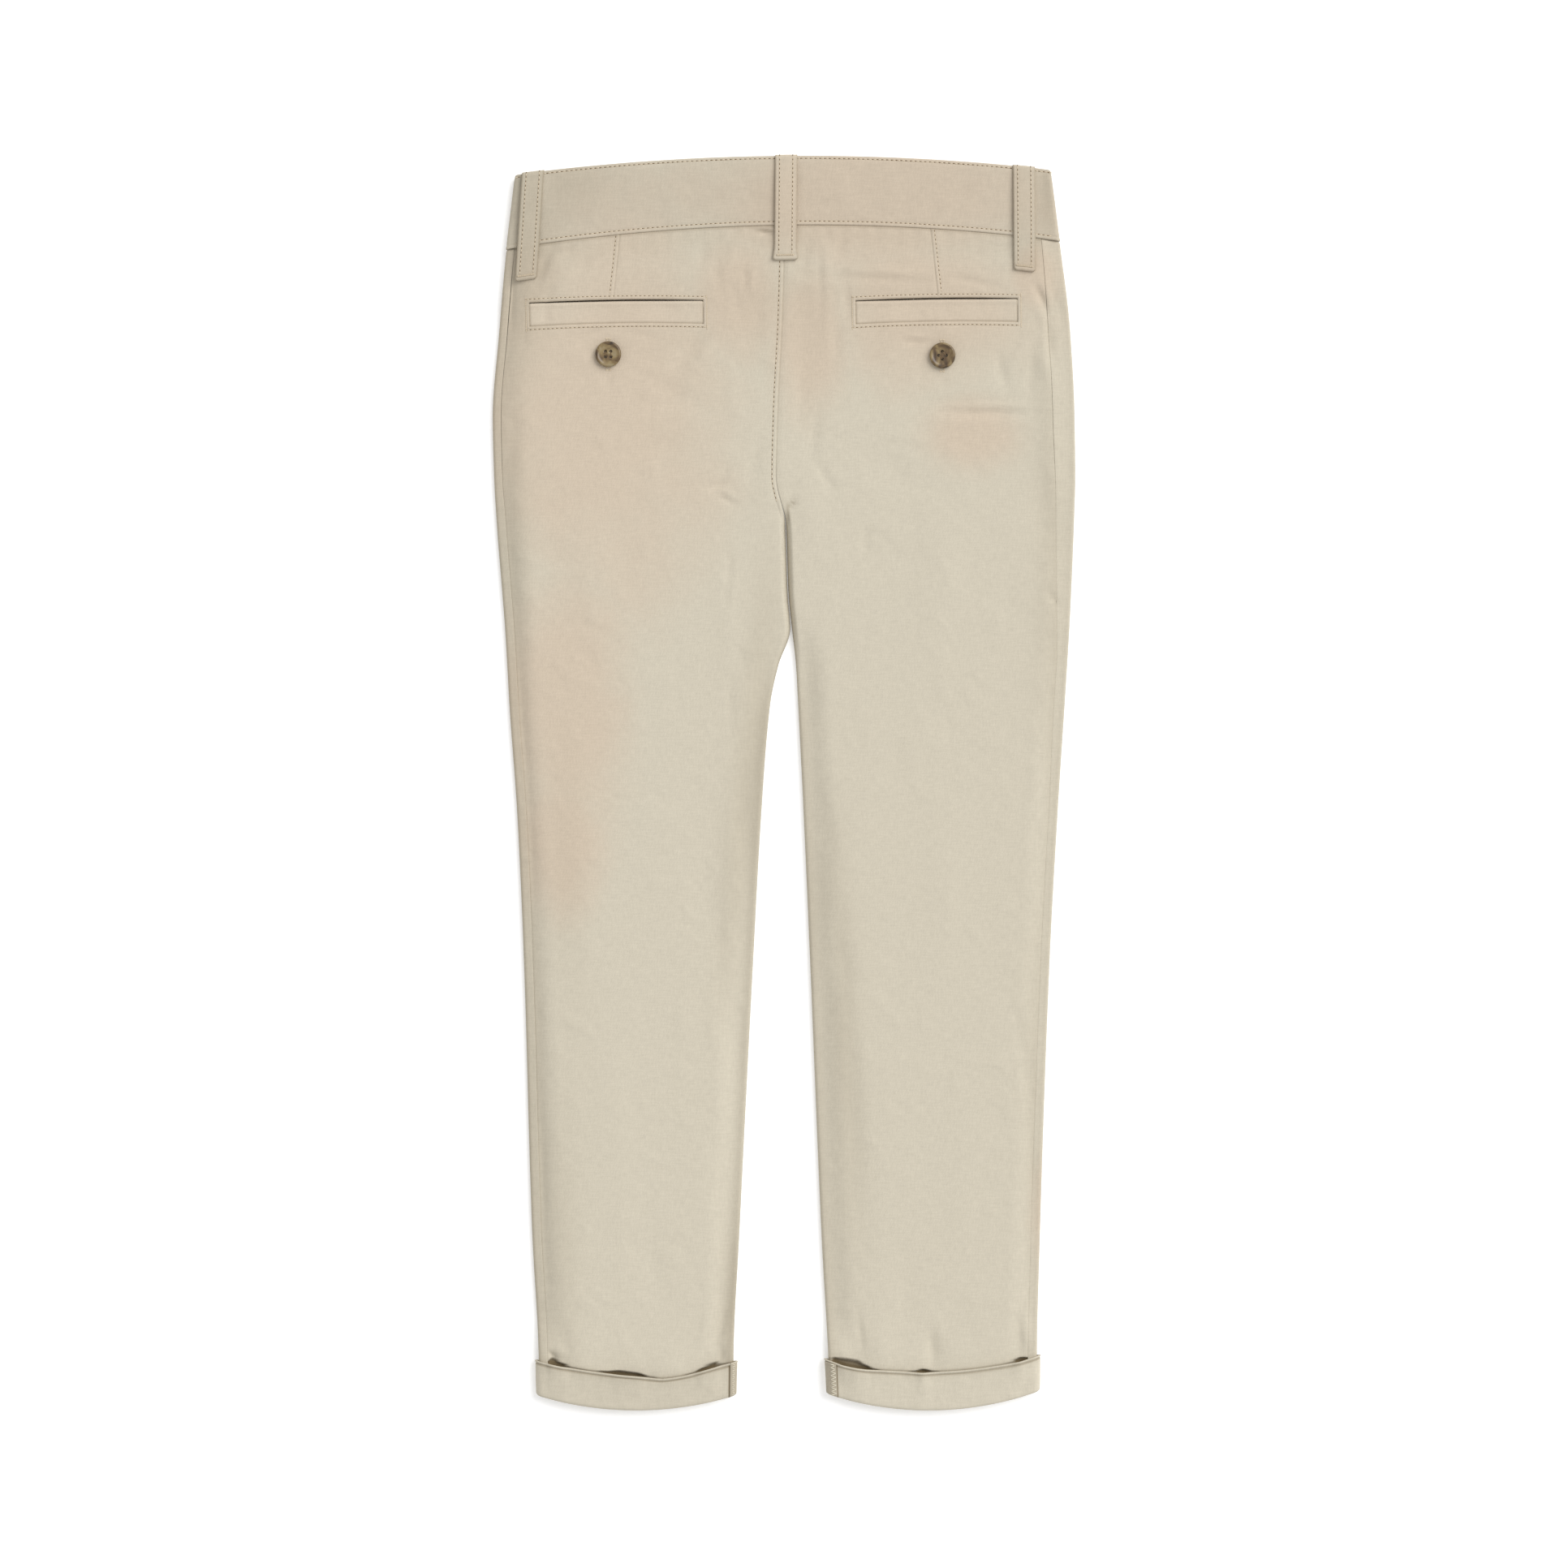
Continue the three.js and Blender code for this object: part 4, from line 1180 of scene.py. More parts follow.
class Path:
    """A line on the cloth that is read by its length.

    Args:
        points: The line's points, with x, y and z.
    """

    def __init__(self, points: Numbers) -> None:
        """Measures the line."""
        self.points = np.asarray(points, float)
        spans = np.linalg.norm(np.diff(self.points, axis=0), axis=1)
        self.marks = np.concatenate([[0], np.cumsum(spans)])
        self.length = float(self.marks[-1])

    def at(self, along: float) -> Vector:
        """The point at a distance along the line."""
        return Vector([np.interp(along, self.marks, self.points[:, axis]) for axis in range(3)])


class Sewing:
    """Rows of stitches that are joined into one piece.

    Args:
        name: The piece's name.
    """

    # HOLE is the dark finish: painted shade at each needle hole, and also the thread through the
    # buttons.
    THREAD, HOLE = 0, 1

    def __init__(self, name: str) -> None:
        """Starts with no stitches."""
        self.name = name
        self.whole = bpy.data.meshes.new(name + "_rows")
        self.joined = bmesh.new()
        self.count = 0

    def bead(self, at: Vector, along: Vector, up: Vector, size: Sequence[float], kind: int) -> None:
        """Adds one rounded bead of thread, or one dark bead: painted shade at a needle hole, or the
        thread through a button.

        Args:
            at: Its middle.
            along: The direction of its length.
            up: The direction out of the cloth.
            size: Its length, width and height.
            kind: Its finish, `THREAD` or `HOLE`.
        """
        across = up.cross(along).normalized()
        turn = Matrix((along, across, along.cross(across).normalized())).transposed().to_4x4()
        scale = Matrix.Diagonal((size[0] / 2, size[1] / 2, size[2] / 2, 1))
        place = Matrix.Translation(at) @ turn @ scale
        shape = bmesh.new()
        bmesh.ops.create_uvsphere(shape, u_segments=6, v_segments=4, radius=1, matrix=place)
        for face in shape.faces:
            face.material_index = kind
        shape.to_mesh(self.whole)
        shape.free()
        self.joined.from_mesh(self.whole)

    def row(self, path: Numbers, stitch: Stitch = TOPSTITCH, up: Sequence[float] = UP) -> None:
        """Sews one row of stitches.

        Args:
            path: The row's line on the cloth, as points with x, y and z.
            stitch: The kind of stitch.
            up: The direction out of the cloth.
        """
        line, out = Path(path), Vector(up)
        count = max(1, round(line.length / stitch.pitch))
        pitch = line.length / count
        for i in range(count):
            start, middle, end = (line.at((i + share) * pitch) for share in (0.08, 0.5, 0.92))
            along = (end - start).normalized()
            sway = 0.06 * math.sin(12.9898 * (i + 1) + self.count)
            along = (along + out.cross(along) * sway).normalized()
            thread = (stitch.shown, stitch.thread, stitch.thread * 0.8)
            self.bead(middle + out * 0.06, along, out, thread, self.THREAD)
            # Painted shade: a small dark bead at each needle hole, where the thread goes down.
            hole = (stitch.hole, stitch.hole_width, 0.22)
            self.bead(line.at(i * pitch) + out * 0.04, along, out, hole, self.HOLE)
        self.count += count

    def zigzag(self, path: Numbers, width: float, pitch: float, thread: float) -> None:
        """Sews a dense zigzag, as on a buttonhole or an overlocked edge, in threads that lie across.

        Args:
            path: The middle line, as points with x, y and z.
            width: Width of the zigzag.
            pitch: Distance from one thread to the next.
            thread: Thickness of the thread.
        """
        line, out = Path(path), Vector(UP)
        for i, at in enumerate(steps(0, line.length, pitch)):
            start = min(at, line.length - 0.1)
            middle, ahead = line.at(start), line.at(start + 0.1)
            along = (ahead - middle).normalized()
            across = (out.cross(along) + along * (0.35 if i % 2 else -0.35)).normalized()
            size = (width * (1 + 0.06 * math.sin(7.1 * i)), thread, thread * 0.8)
            self.bead(middle + out * 0.1, across, out, size, self.THREAD)

    def finish(self, thread: bpy.types.Material, hole: bpy.types.Material) -> bpy.types.Object:
        """Makes the joined rows one piece."""
        bpy.data.meshes.remove(self.whole)
        return finish_piece(self.name, self.joined, [thread, hole])


# Pieces of the garment


@dataclass
class BackPanel:
    """The back of one leg with its half of the seat, its dart and the window of its pocket."""

    leg: Leg
    pocket: Pocket
    cloth: float = 0.9
    across: float = 1.75
    seat_step: float = 1.75
    leg_step: float = 2.5
    seat_ends: float = 176
    under_band: float = 1.6
    overlap: float = 0.17
    dart_depth: float = 0.22
    dart_stitched: float = 2.1
    lip: float = 0.34
    seam_sink: float = 0.1
    deepest: float = 2.4
    window_rows: tuple[float, ...] = (0, 0.3, 0.65, 1.1, 1.6, 1.9, 2.2, 2.8)
    dart_rows: tuple[float, ...] = (-0.8, -0.4, 0, 0.35, 0.7, 1.5, 2.1, 2.7)

    def downs(self) -> Numbers:
        """The sections of the panel, closer where it meets the waistband and over the seat.

        Returns:
            Them, in order.
        """
        edge = [-self.under_band, -0.9, -0.4, 0.0, 0.35, 0.7, 1.1, 1.6, 2.3, 3.2]
        seat = steps(4.4, self.seat_ends, self.seat_step)
        leg = steps(self.seat_ends + self.leg_step, 585, self.leg_step)
        hem = steps(587, 612, 1.6) + steps(612.5, 626, 0.45) + steps(627.5, LAY.last_down, 1.6)
        return np.array(edge + seat + leg + hem)

    def columns(self, down: Numbers) -> Numbers:
        """Places across the panel, closer at its sides.

        Args:
            down: The sections.

        Returns:
            x of every point, a row for each section.
        """
        sign, width = self.leg.side.sign, self.leg.width(down)
        seam = self.leg.side_seam(down)
        inner = self.leg.inner(down) - sign * self.overlap * (1 - self.leg.leg_share(down))
        near = [0, 0.06, 0.22, 0.5, 0.85, 1.25, 1.6, 1.85, 2.1, 2.4, 2.9, 3.6, 4.6, 6, 7.8, 10, 12.6]
        count = round((float(np.mean(width)) - 2 * LAY.margin) / self.across)
        rest = LAY.margin - seam - 1.6
        inward = [np.full_like(down, value) for value in near]
        inward += [LAY.margin + (width - 2 * LAY.margin) * i / count for i in range(count + 1)]
        inward += [width - seam - 1.6 - rest * share for share in (0.72, 0.48, 0.28, 0.12)]
        inward += [width - seam - value for value in (1.6, 1.1, 0.75, 0.45, 0.2, 0.0)]
        return inner[:, None] + sign * np.stack(inward, axis=1)

    def height(self, x: Numbers, y: Numbers) -> Numbers:
        """Height of the panel's face, with its seams sunk into it.

        Args:
            x: The plan points' x.
            y: The plan points' y.

        Returns:
            The height at each point.
        """
        down = self.leg.down_at(x, y)
        from_inner, from_seam = self._across(x, down)
        z = self.leg.top(down, x) - 0.4 * ease((0.8 - down) / 1.2)
        pucker = np.sin(x * 0.71 + 1.3 * np.sin(x / 17)) * np.exp(-np.maximum(down - 1, 0) / 7)
        z = z + 0.2 * pucker * ease(down / 2) + self._seat_seam(from_inner, down) * self._seated(down)
        z = z - self.seam_sink * bump(from_seam, 0.45)
        if self.leg.side is Side.LEFT:
            valley = 0.4 + 0.25 * np.sin(down / 37.0) + 0.15 * np.sin(down / 13.0)
            on_leg = ease((down - 120) / 60) * ease((600 - down) / 40)
            z = z - valley * bump(from_seam - 2.2, 2.2) * on_leg
        return z + self._dart(x, y) + self._pocket(x, y) - self._hollow(x, down)[0]

    def shade(self, x: Numbers, y: Numbers) -> Numbers:
        """How much painted shade the panel takes at its seams, creases, folded sides, touching thighs
        and cuff hollows.

        Args:
            x: The plan points' x.
            y: The plan points' y.

        Returns:
            The share at each point.
        """
        down = self.leg.down_at(x, y)
        from_inner, from_seam = self._across(x, down)
        seated = self._seated(down)
        # Painted shade under the waist seam, along the seat seam, between the touching thighs, along the
        # inner and folded sides, beside the dart, round the pocket's window and in the hollows behind
        # the cuffs.
        waist = 0.22 * bump(np.maximum(down - 0.7, 0), 0.6) + 0.06 * bump(down - 5, 7)
        seat = (0.14 * bump(from_inner, 0.35) + 0.04 * bump(from_inner - 1.0, 0.9)) * seated
        thighs = 0.4 * bump(from_inner, 0.7) * (1 - seated) * ease((262 - down) / 30)
        inner = 0.2 * bump(from_inner, 5) * ease((down - 230) / 40)
        side = 0.06 * bump(from_seam, 0.5) + SIDE_SHADE[self.leg.side] * bump(from_seam + 4, 6)
        beside, ends = self._from_dart(x, y)
        dart = (0.13 * bump(beside, 0.35) + 0.05 * bump(beside - self.dart_stitched, 0.5)) * ends
        corner = self.pocket.beyond(x, y)
        window = 0.3 * bump(np.maximum(corner, 0), 0.35)
        window = window + 0.05 * bump(corner - self.pocket.frame_inset, 0.5)
        seams = waist + seat + thighs + inner + side + dart + window + self._hollow(x, down)[1]
        return np.clip(relief(SOFT_SHADOWS, x, y) + seams, 0, 1)

    def _seated(self, down: Numbers) -> Numbers:
        """1 where the halves are sewn together at the seat, 0 below the crotch."""
        return ease((LAY.crotch_down + 2 - down) / 10)

    def _across(self, x: Numbers, down: Numbers) -> tuple[Numbers, Numbers]:
        """Distances in from the inner side and from the side seam."""
        from_inner, from_outer = self.leg.insets(down, x)
        return from_inner, from_outer - self.leg.side_seam(down)

    def _hollow(self, x: Numbers, down: Numbers) -> tuple[Numbers, Numbers]:
        """The hollows where the leg's cloth sinks behind the cuff's edge.

        Args:
            x: The points' x.
            down: Their sections.

        Returns:
            The hollows' depth, and the painted shade in them and along the cuff's edge.
        """
        inner, width = self.leg.hem
        share = np.clip(np.abs(x - inner) / width, 0, 1)
        above = LAY.leg_length - down - self.leg.cuff_height(share)
        reach, gape = self.leg.cuff_hollow(share), self.leg.cuff_gape(share)
        inside = ease((reach - above) / np.maximum(0.6 * reach, 0.6)) * ease(reach / 0.4)
        dark = 0.4 * bump(np.maximum(above, 0), 0.6) + 0.85 * inside * ease(gape - 0.4)
        return np.minimum(1.25 * gape, self.deepest) * inside, dark

    def dart_line(self) -> tuple[Vector, Vector]:
        """The dart's ends in plan, at the waist seam and above the pocket."""
        top, foot = self.pocket.dart_top, self.pocket.dart_foot
        foot_y = self.pocket.y + DART_FOOT_GAP
        return Vector((top, self.leg.section_y(0, top), 0)), Vector((foot, foot_y, 0))

    def _from_dart(self, x: Numbers, y: Numbers) -> tuple[Numbers, Numbers]:
        """Where plan points lie beside the dart.

        Args:
            x: The plan points' x.
            y: The plan points' y.

        Returns:
            Distance from its line towards the side, and how much of the dart there is.
        """
        top, foot = self.dart_line()
        line = top.x + (y - top.y) * (foot.x - top.x) / (foot.y - top.y)
        return (x - line) * self.leg.side.sign, ease((y - foot.y + 2.5) / 3)

    def _seat_seam(self, from_inner: Numbers, down: Numbers) -> Numbers:
        """The seat seam: its allowance turned to the left and topstitched there.

        Args:
            from_inner: Distances from the seam.
            down: The points' sections.

        Returns:
            The height that it adds.
        """
        groove = -0.17 * bump(from_inner, 0.35)
        if self.leg.side is Side.RIGHT:
            return groove - 0.12 * bump(from_inner - 0.8, 1.2)
        ridge = 0.22 * ease((from_inner - 0.2) / 0.6) * ease((2.4 - from_inner) / 0.7)
        wave = 1 + 0.5 * np.sin(down / 1.6 + np.sin(down / 9))
        return groove + ridge - 0.1 * wave * bump(from_inner - 2.1, 0.45)

    def _dart(self, x: Numbers, y: Numbers) -> Numbers:
        """The height of the dart: a groove with a row of stitches beside it.

        Args:
            x: The plan points' x.
            y: The plan points' y.

        Returns:
            The height that it adds at each point.
        """
        beside, ends = self._from_dart(x, y)
        ridge = 0.13 * ease((self.dart_stitched - beside) / 0.6) * ease(beside / 0.5)
        stitched = 0.08 * bump(beside - self.dart_stitched, 0.5)
        return (ridge - self.dart_depth * bump(beside, 0.4) - stitched) * ends

    def _pocket(self, x: Numbers, y: Numbers) -> Numbers:
        """The height of the pocket's surround.

        Args:
            x: The plan points' x.
            y: The plan points' y.

        Returns:
            The height that the rolled lips and the stitched line round the window add.
        """
        corner = self.pocket.beyond(x, y)
        roll = -self.lip * bump(np.maximum(corner, 0), 0.5)
        stitched = -0.12 * bump(corner - self.pocket.frame_inset, 0.5)
        padded = 0.16 * ease((corner - 0.2) / 0.6) * ease((2.3 - corner) / 0.8)
        return (roll + stitched + padded) * ease((4 - corner) / 1.5)

    def _cut_window(self, bm: bmesh.types.BMesh) -> None:
        """Cuts the pocket's window out, with fine rows of points round it and along the dart.

        Args:
            bm: The panel, still flat.
        """
        pocket, (wide, tall) = self.pocket, self.pocket.half
        turn = math.radians(pocket.slope)
        along = Vector((math.cos(turn), math.sin(turn), 0))
        up = Vector((-math.sin(turn), math.cos(turn), 0))
        middle = Vector((pocket.x, pocket.y, 0))
        for axis, half, other, span in ((along, wide, up, tall), (up, tall, along, wide)):
            for way, offset in product((-1, 1), self.window_rows):
                line = way * (half + offset)
                near = [
                    face
                    for face, place in centres(bm, middle)
                    if abs(place.dot(axis) - line) < 6 and abs(place.dot(other)) < span + 9
                ]
                cut(bm, near, middle + axis * line, axis)
        top, foot = self.dart_line()
        across = (top - foot).cross(Vector(UP)).normalized() * self.leg.side.sign
        for offset in self.dart_rows:
            near = [
                face
                for face, place in centres(bm, foot)
                if -3 < place.y < top.y - foot.y + 2 and abs(place.dot(across) - offset) < 3
            ]
            cut(bm, near, foot + across * offset, across)
        gone = [
            face
            for face, place in centres(bm, middle)
            if abs(place.dot(along)) < wide and abs(place.dot(up)) < tall
        ]
        bmesh.ops.delete(bm, geom=gone, context="FACES")
        for vert in bm.verts:
            u, v = (vert.co - middle).dot(along), (vert.co - middle).dot(up)
            if abs(u) < wide + 14:
                bow = pocket.bowed(min(abs(u), wide)) * ease((26 - abs(v)) / 18)
                vert.co -= up * float(bow)

    def build(self, finishes: Finishes) -> bpy.types.Object:
        """Makes the panel.

        Args:
            finishes: The garment's finishes.

        Returns:
            The panel.
        """
        down = self.downs()
        x = self.columns(down)
        y = self.leg.section_y(down[:, None], x)
        bm = grid_sheet(np.stack([x, y, np.zeros_like(x)], axis=-1))
        self._cut_window(bm)
        plan_x, plan_y = np.array([vert.co[:2] for vert in bm.verts]).T
        for vert, z in zip(bm.verts, self.height(plan_x, plan_y)):
            vert.co.z = z
        set_shade(bm, self.shade(plan_x, plan_y))
        face_towards(bm, len(bm.faces) // 2, UP)
        side, flat = self.leg.side.value, Cut(158, LAY.leg_length, 0.84)
        return cloth_piece(f"back_panel_{side}", bm, finishes.cloth, f"back_{side}", self.cloth)

    def sew(self, sewing: Sewing) -> None:
        """Sews the dart, the seat seam's topstitching and the frame of the pocket.

        Args:
            sewing: The rows that this joins.
        """
        pocket, sign = self.pocket, self.leg.side.sign
        if self.leg.side is Side.LEFT:
            down = np.array(steps(1.5, 150, 2.0))
            x = self.leg.inner(down) - 2.1
            sewing.row(self.on(x, self.leg.section_y(down, x)))
        top_y = float(self.leg.section_y(0, pocket.dart_top)) - 1.2
        y = np.array(steps(top_y, pocket.y + DART_FOOT_GAP + 0.6, 1.5))
        share = (y - top_y) / (y[-1] - top_y)
        x = pocket.dart_top + (pocket.dart_foot - pocket.dart_top) * share + sign * self.dart_stitched
        sewing.row(self.on(x, y), FINE_STITCH)
        half, tall = (size + pocket.frame_inset for size in pocket.half)
        u = np.array(steps(-half, half, 2.0))
        for v in (-tall, tall):
            sewing.row(self.on(*pocket.point(u, np.full_like(u, v))), FINE_STITCH)
        v = np.array(steps(-tall - 1, tall + 1, 1.0))
        for end in (-half, half):
            sewing.row(self.on(*pocket.point(np.full_like(v, end), v)), BAR_TACK)

    def on(self, x: Numbers, y: Numbers) -> Numbers:
        """Points on the panel's face above plan points."""
        return np.stack([x, y, self.height(x, y)], axis=-1)


@dataclass
class Welt:
    """The single welt of a back pocket: a folded strip that fills the window below its mouth."""

    panel: BackPanel
    cloth: float = 1.0
    sunk: float = 0.2
    under_edge: float = 0.4
    edge: tuple[float, ...] = (0, 0.25, 0.5, 0.8, 1.2, 1.8)

    def mouth(self, u: Numbers) -> Numbers:
        """Width of the pocket's mouth, which narrows towards its ends."""
        pocket = self.panel.pocket
        return pocket.mouth * (1 - 0.75 * np.minimum(np.abs(u) / (pocket.width / 2), 1) ** 3)

    def height(self, u: Numbers, v: Numbers) -> Numbers:
        """Height of the welt's face, with its folded upper edge and the rolls of its seams.

        Args:
            u: Distance along the welt from its middle.
            v: Distance up the welt from its middle.

        Returns:
            The height at each point.
        """
        half, tall = self.panel.pocket.half
        x, y = self.panel.pocket.point(u, v)
        leg, from_top = self.panel.leg, tall - self.mouth(u) - v
        z = leg.top(leg.down_at(x, y), x) - self.sunk
        z = z - 0.7 * bump(from_top, 0.5) + 0.3 * bump(from_top - 1.4, 1.1)
        z = z - 0.25 * bump(v + tall, 0.5) - 0.25 * bump(half - np.abs(u), 0.5)
        return z + 0.08 * np.sin(u / 6.3 + v / 5)

    def build(self, finishes: Finishes) -> bpy.types.Object:
        """Makes the welt.

        Args:
            finishes: The garment's finishes.

        Returns:
            The welt.
        """
        pocket, (wide, tall) = self.panel.pocket, self.panel.pocket.half
        half, low, high = wide + self.under_edge, -tall - self.under_edge, tall - pocket.mouth
        back = self.edge[::-1]
        v = [high - e for e in self.edge] + steps(high - 2.6, low + 2.2, 1.1) + [low + e for e in back]
        u = [-half + e for e in self.edge] + steps(-half + 3, half - 3, 1.6) + [half - e for e in back]
        grid_u, grid_v = np.meshgrid(u, v)
        grid_v = grid_v + (pocket.mouth - self.mouth(grid_u)) * (grid_v - low) / (high - low)
        # Painted shade along the welt's ends and its lower seam.
        shade = 0.3 * bump(wide - np.abs(grid_u), 0.6) + 0.3 * bump(grid_v + tall, 0.6)
        points = [*pocket.point(grid_u, grid_v), self.height(grid_u, grid_v)]
        bm = grid_sheet(np.stack(points, axis=-1), np.minimum(shade, 1))
        face_towards(bm, 0, UP)
        side, flat = pocket.side.value, Cut(pocket.width, pocket.height)
        return cloth_piece(f"pocket_welt_{side}", bm, finishes.cloth, f"welt_{side}", self.cloth)


@dataclass
class FrontPanel:
    """The front of one leg, from the side seam over the fold and along the underside.

    The corner beyond the slanted pocket mouth is a piece of its own, the pocket's facing.
    """

    leg: Leg
    cloth: float = 0.9
    slant_in: float = 42
    slant_foot_in: float = 12
    slant_down: float = 132
    step: float = 3.0
    stitched: tuple[float, ...] = (1.5, 7.5)
    fly_width: float = 30

    @cached_property
    def grid(self) -> tuple[Numbers, Numbers]:
        """The whole front: its points and the directions out of the cloth."""
        down = np.array([-1.6, -0.8, 0, 0.6, 1.2, 2.2, *steps(4, LAY.last_down, self.step)])
        seam, width = self.leg.side_seam(down), self.leg.width(down)
        inner, outer, radius = Where.FROM_INNER, Where.FROM_OUTER, LAY.fold_radius
        columns = [Column(outer, seam - inset) for inset in (0, 0.2, 0.45, 0.75, 1.1)]
        columns += [Column(outer, radius + (seam - 1.1 - radius) * share) for share in (0.75, 0.5, 0.25)]
        columns += [Column(Where.FOLD, angle) for angle in steps(90, 270, 15)]
        columns += [Column(outer, inset, True) for inset in (3, 4.5, 6.5, 9, 12)]
        count = round((float(np.mean(width)) - 2 * LAY.margin) / self.step)
        for i in range(count + 1):
            columns.append(Column(inner, LAY.margin + (width - 2 * LAY.margin) * (1 - i / count), True))
        columns += [Column(inner, inset, True) for inset in (13, 10.5, 8, 5.5, 3.5, 2.4)]
        columns += [Column(Where.CURL, angle, True) for angle in (90, 75, 60, 45, 30, 15, 0)]
        points, outs = zip(*(self.leg.place(down, column) for column in columns))
        return np.stack(points, axis=1), np.stack(outs, axis=1)

    def _slant(self) -> tuple[Vector, Vector]:
        """The line of the slanted mouth, in plan.

        Returns:
            Its top and its foot.
        """
        ends = []
        for down, inward in ((0, self.slant_in), (self.slant_down, self.slant_foot_in)):
            x = float(self.leg.outer(down)) - self.leg.side.sign * inward
            ends.append(Vector((x, self.leg.section_y(down, x), 0)))
        return ends[0], ends[1]

    def _sunk(self, points: Numbers, down: Numbers) -> Numbers:
        """How far the front sinks along its side seam and under the waistband.

        Args:
            points: The front's points.
            down: Their sections.

        Returns:
            The depth at each point.
        """
        _, from_outer = self.leg.insets(down, points[..., 0])
        on_top = points[..., 2] > LIFT.eased(down) + LAY.fold_radius
        seam = 0.1 * bump(self.leg.side_seam(down) - from_outer, 0.45) * on_top
        return seam + 0.8 * ease((1.0 - down) / 1.5)

    def _half(self, corner: bool) -> bmesh.types.BMesh:
        """One of the two pieces of the front, cut along the slanted mouth.

        Args:
            corner: Whether it is the corner alone, or the front without it.

        Returns:
            The piece, as an open bmesh.
        """
        points, outs = self.grid
        down = self.leg.down_at(points[..., 0], points[..., 1])
        points = points - outs * self._sunk(points, down)[..., None]
        _, from_outer = self.leg.insets(down, points[..., 0])
        # Painted shade along the folded outer side, deepest at the fold.
        bm = grid_sheet(points, SIDE_SHADE[self.leg.side] * (1 + bump(from_outer, 2.0)))
        columns = points.shape[1]
        face_towards(bm, columns // 2 + 40 * (columns - 1), outs[40, columns // 2])
        top, foot = self._slant()
        across = (foot - top).cross(Vector(UP)).normalized()
        if across.x * self.leg.side.sign < 0:
            across.negate()
        cut(bm, [face for face, place in centres(bm, foot) if place.y > -3], top, across)
        beyond = [face for face, place in centres(bm, top) if place.dot(across) > 0]
        cut(bm, beyond, foot, Vector((0, 1, 0)))
        gone = []
        for face, place in centres(bm, top):
            in_corner = place.dot(across) > 0 and place.y > foot.y - top.y and face.normal.z < -0.02
            if in_corner != corner:
                gone.append(face)
        bmesh.ops.delete(bm, geom=gone, context="FACES")
        raised, reach = (0.55, 7.0) if corner else (0.3, 0.8)
        for vert in bm.verts:
            if vert.co.y >= foot.y and vert.co.z <= 2.5:
                vert.co.z += raised * float(bump((vert.co - top).dot(across), reach))
        return bm

    def build(self, finishes: Finishes) -> list[bpy.types.Object]:
        """Makes the front panel and the facing of its pocket.

        Args:
            finishes: The garment's finishes.

        Returns:
            Both.
        """
        side, cloth = self.leg.side.value, finishes.cloth
        kinds = (
            (False, "front_panel", "front", Cut(164, LAY.leg_length, 0.8)),
            (True, "slant_facing", "pocket_facing", Cut(50, self.slant_down, 0.72)),
        )
        return [
            cloth_piece(f"{name}_{side}", self._half(corner), cloth, f"{node}_{side}", self.cloth)
            for corner, name, node, flat in kinds
        ]

    def under_points(self, x: Numbers, y: Numbers) -> Numbers:
        """Points just below the underside at plan points."""
        return np.stack([x, y, self.leg.under(self.leg.down_at(x, y), x) - 0.02], axis=-1)

    def sew(self, sewing: Sewing) -> None:
        """Sews the slanted mouth's edge and, on the left front, the fly.

        Args:
            sewing: The rows that this joins.
        """
        top, foot = self._slant()
        share = np.array(steps(0.02, 0.98, 0.02))
        for inset in self.stitched:
            x = top.x + (foot.x - top.x) * share - self.leg.side.sign * inset
            sewing.row(self.under_points(x, top.y + (foot.y - top.y) * share), TOPSTITCH, DOWN)
        if self.leg.side is Side.LEFT:
            down = np.array(steps(2, 96, 2.0))
            x = self.leg.inner(down) - self.fly_width + 26 * ease((down - 68) / 34) ** 2
            sewing.row(self.under_points(x, self.leg.section_y(down, x)), TOPSTITCH, DOWN)


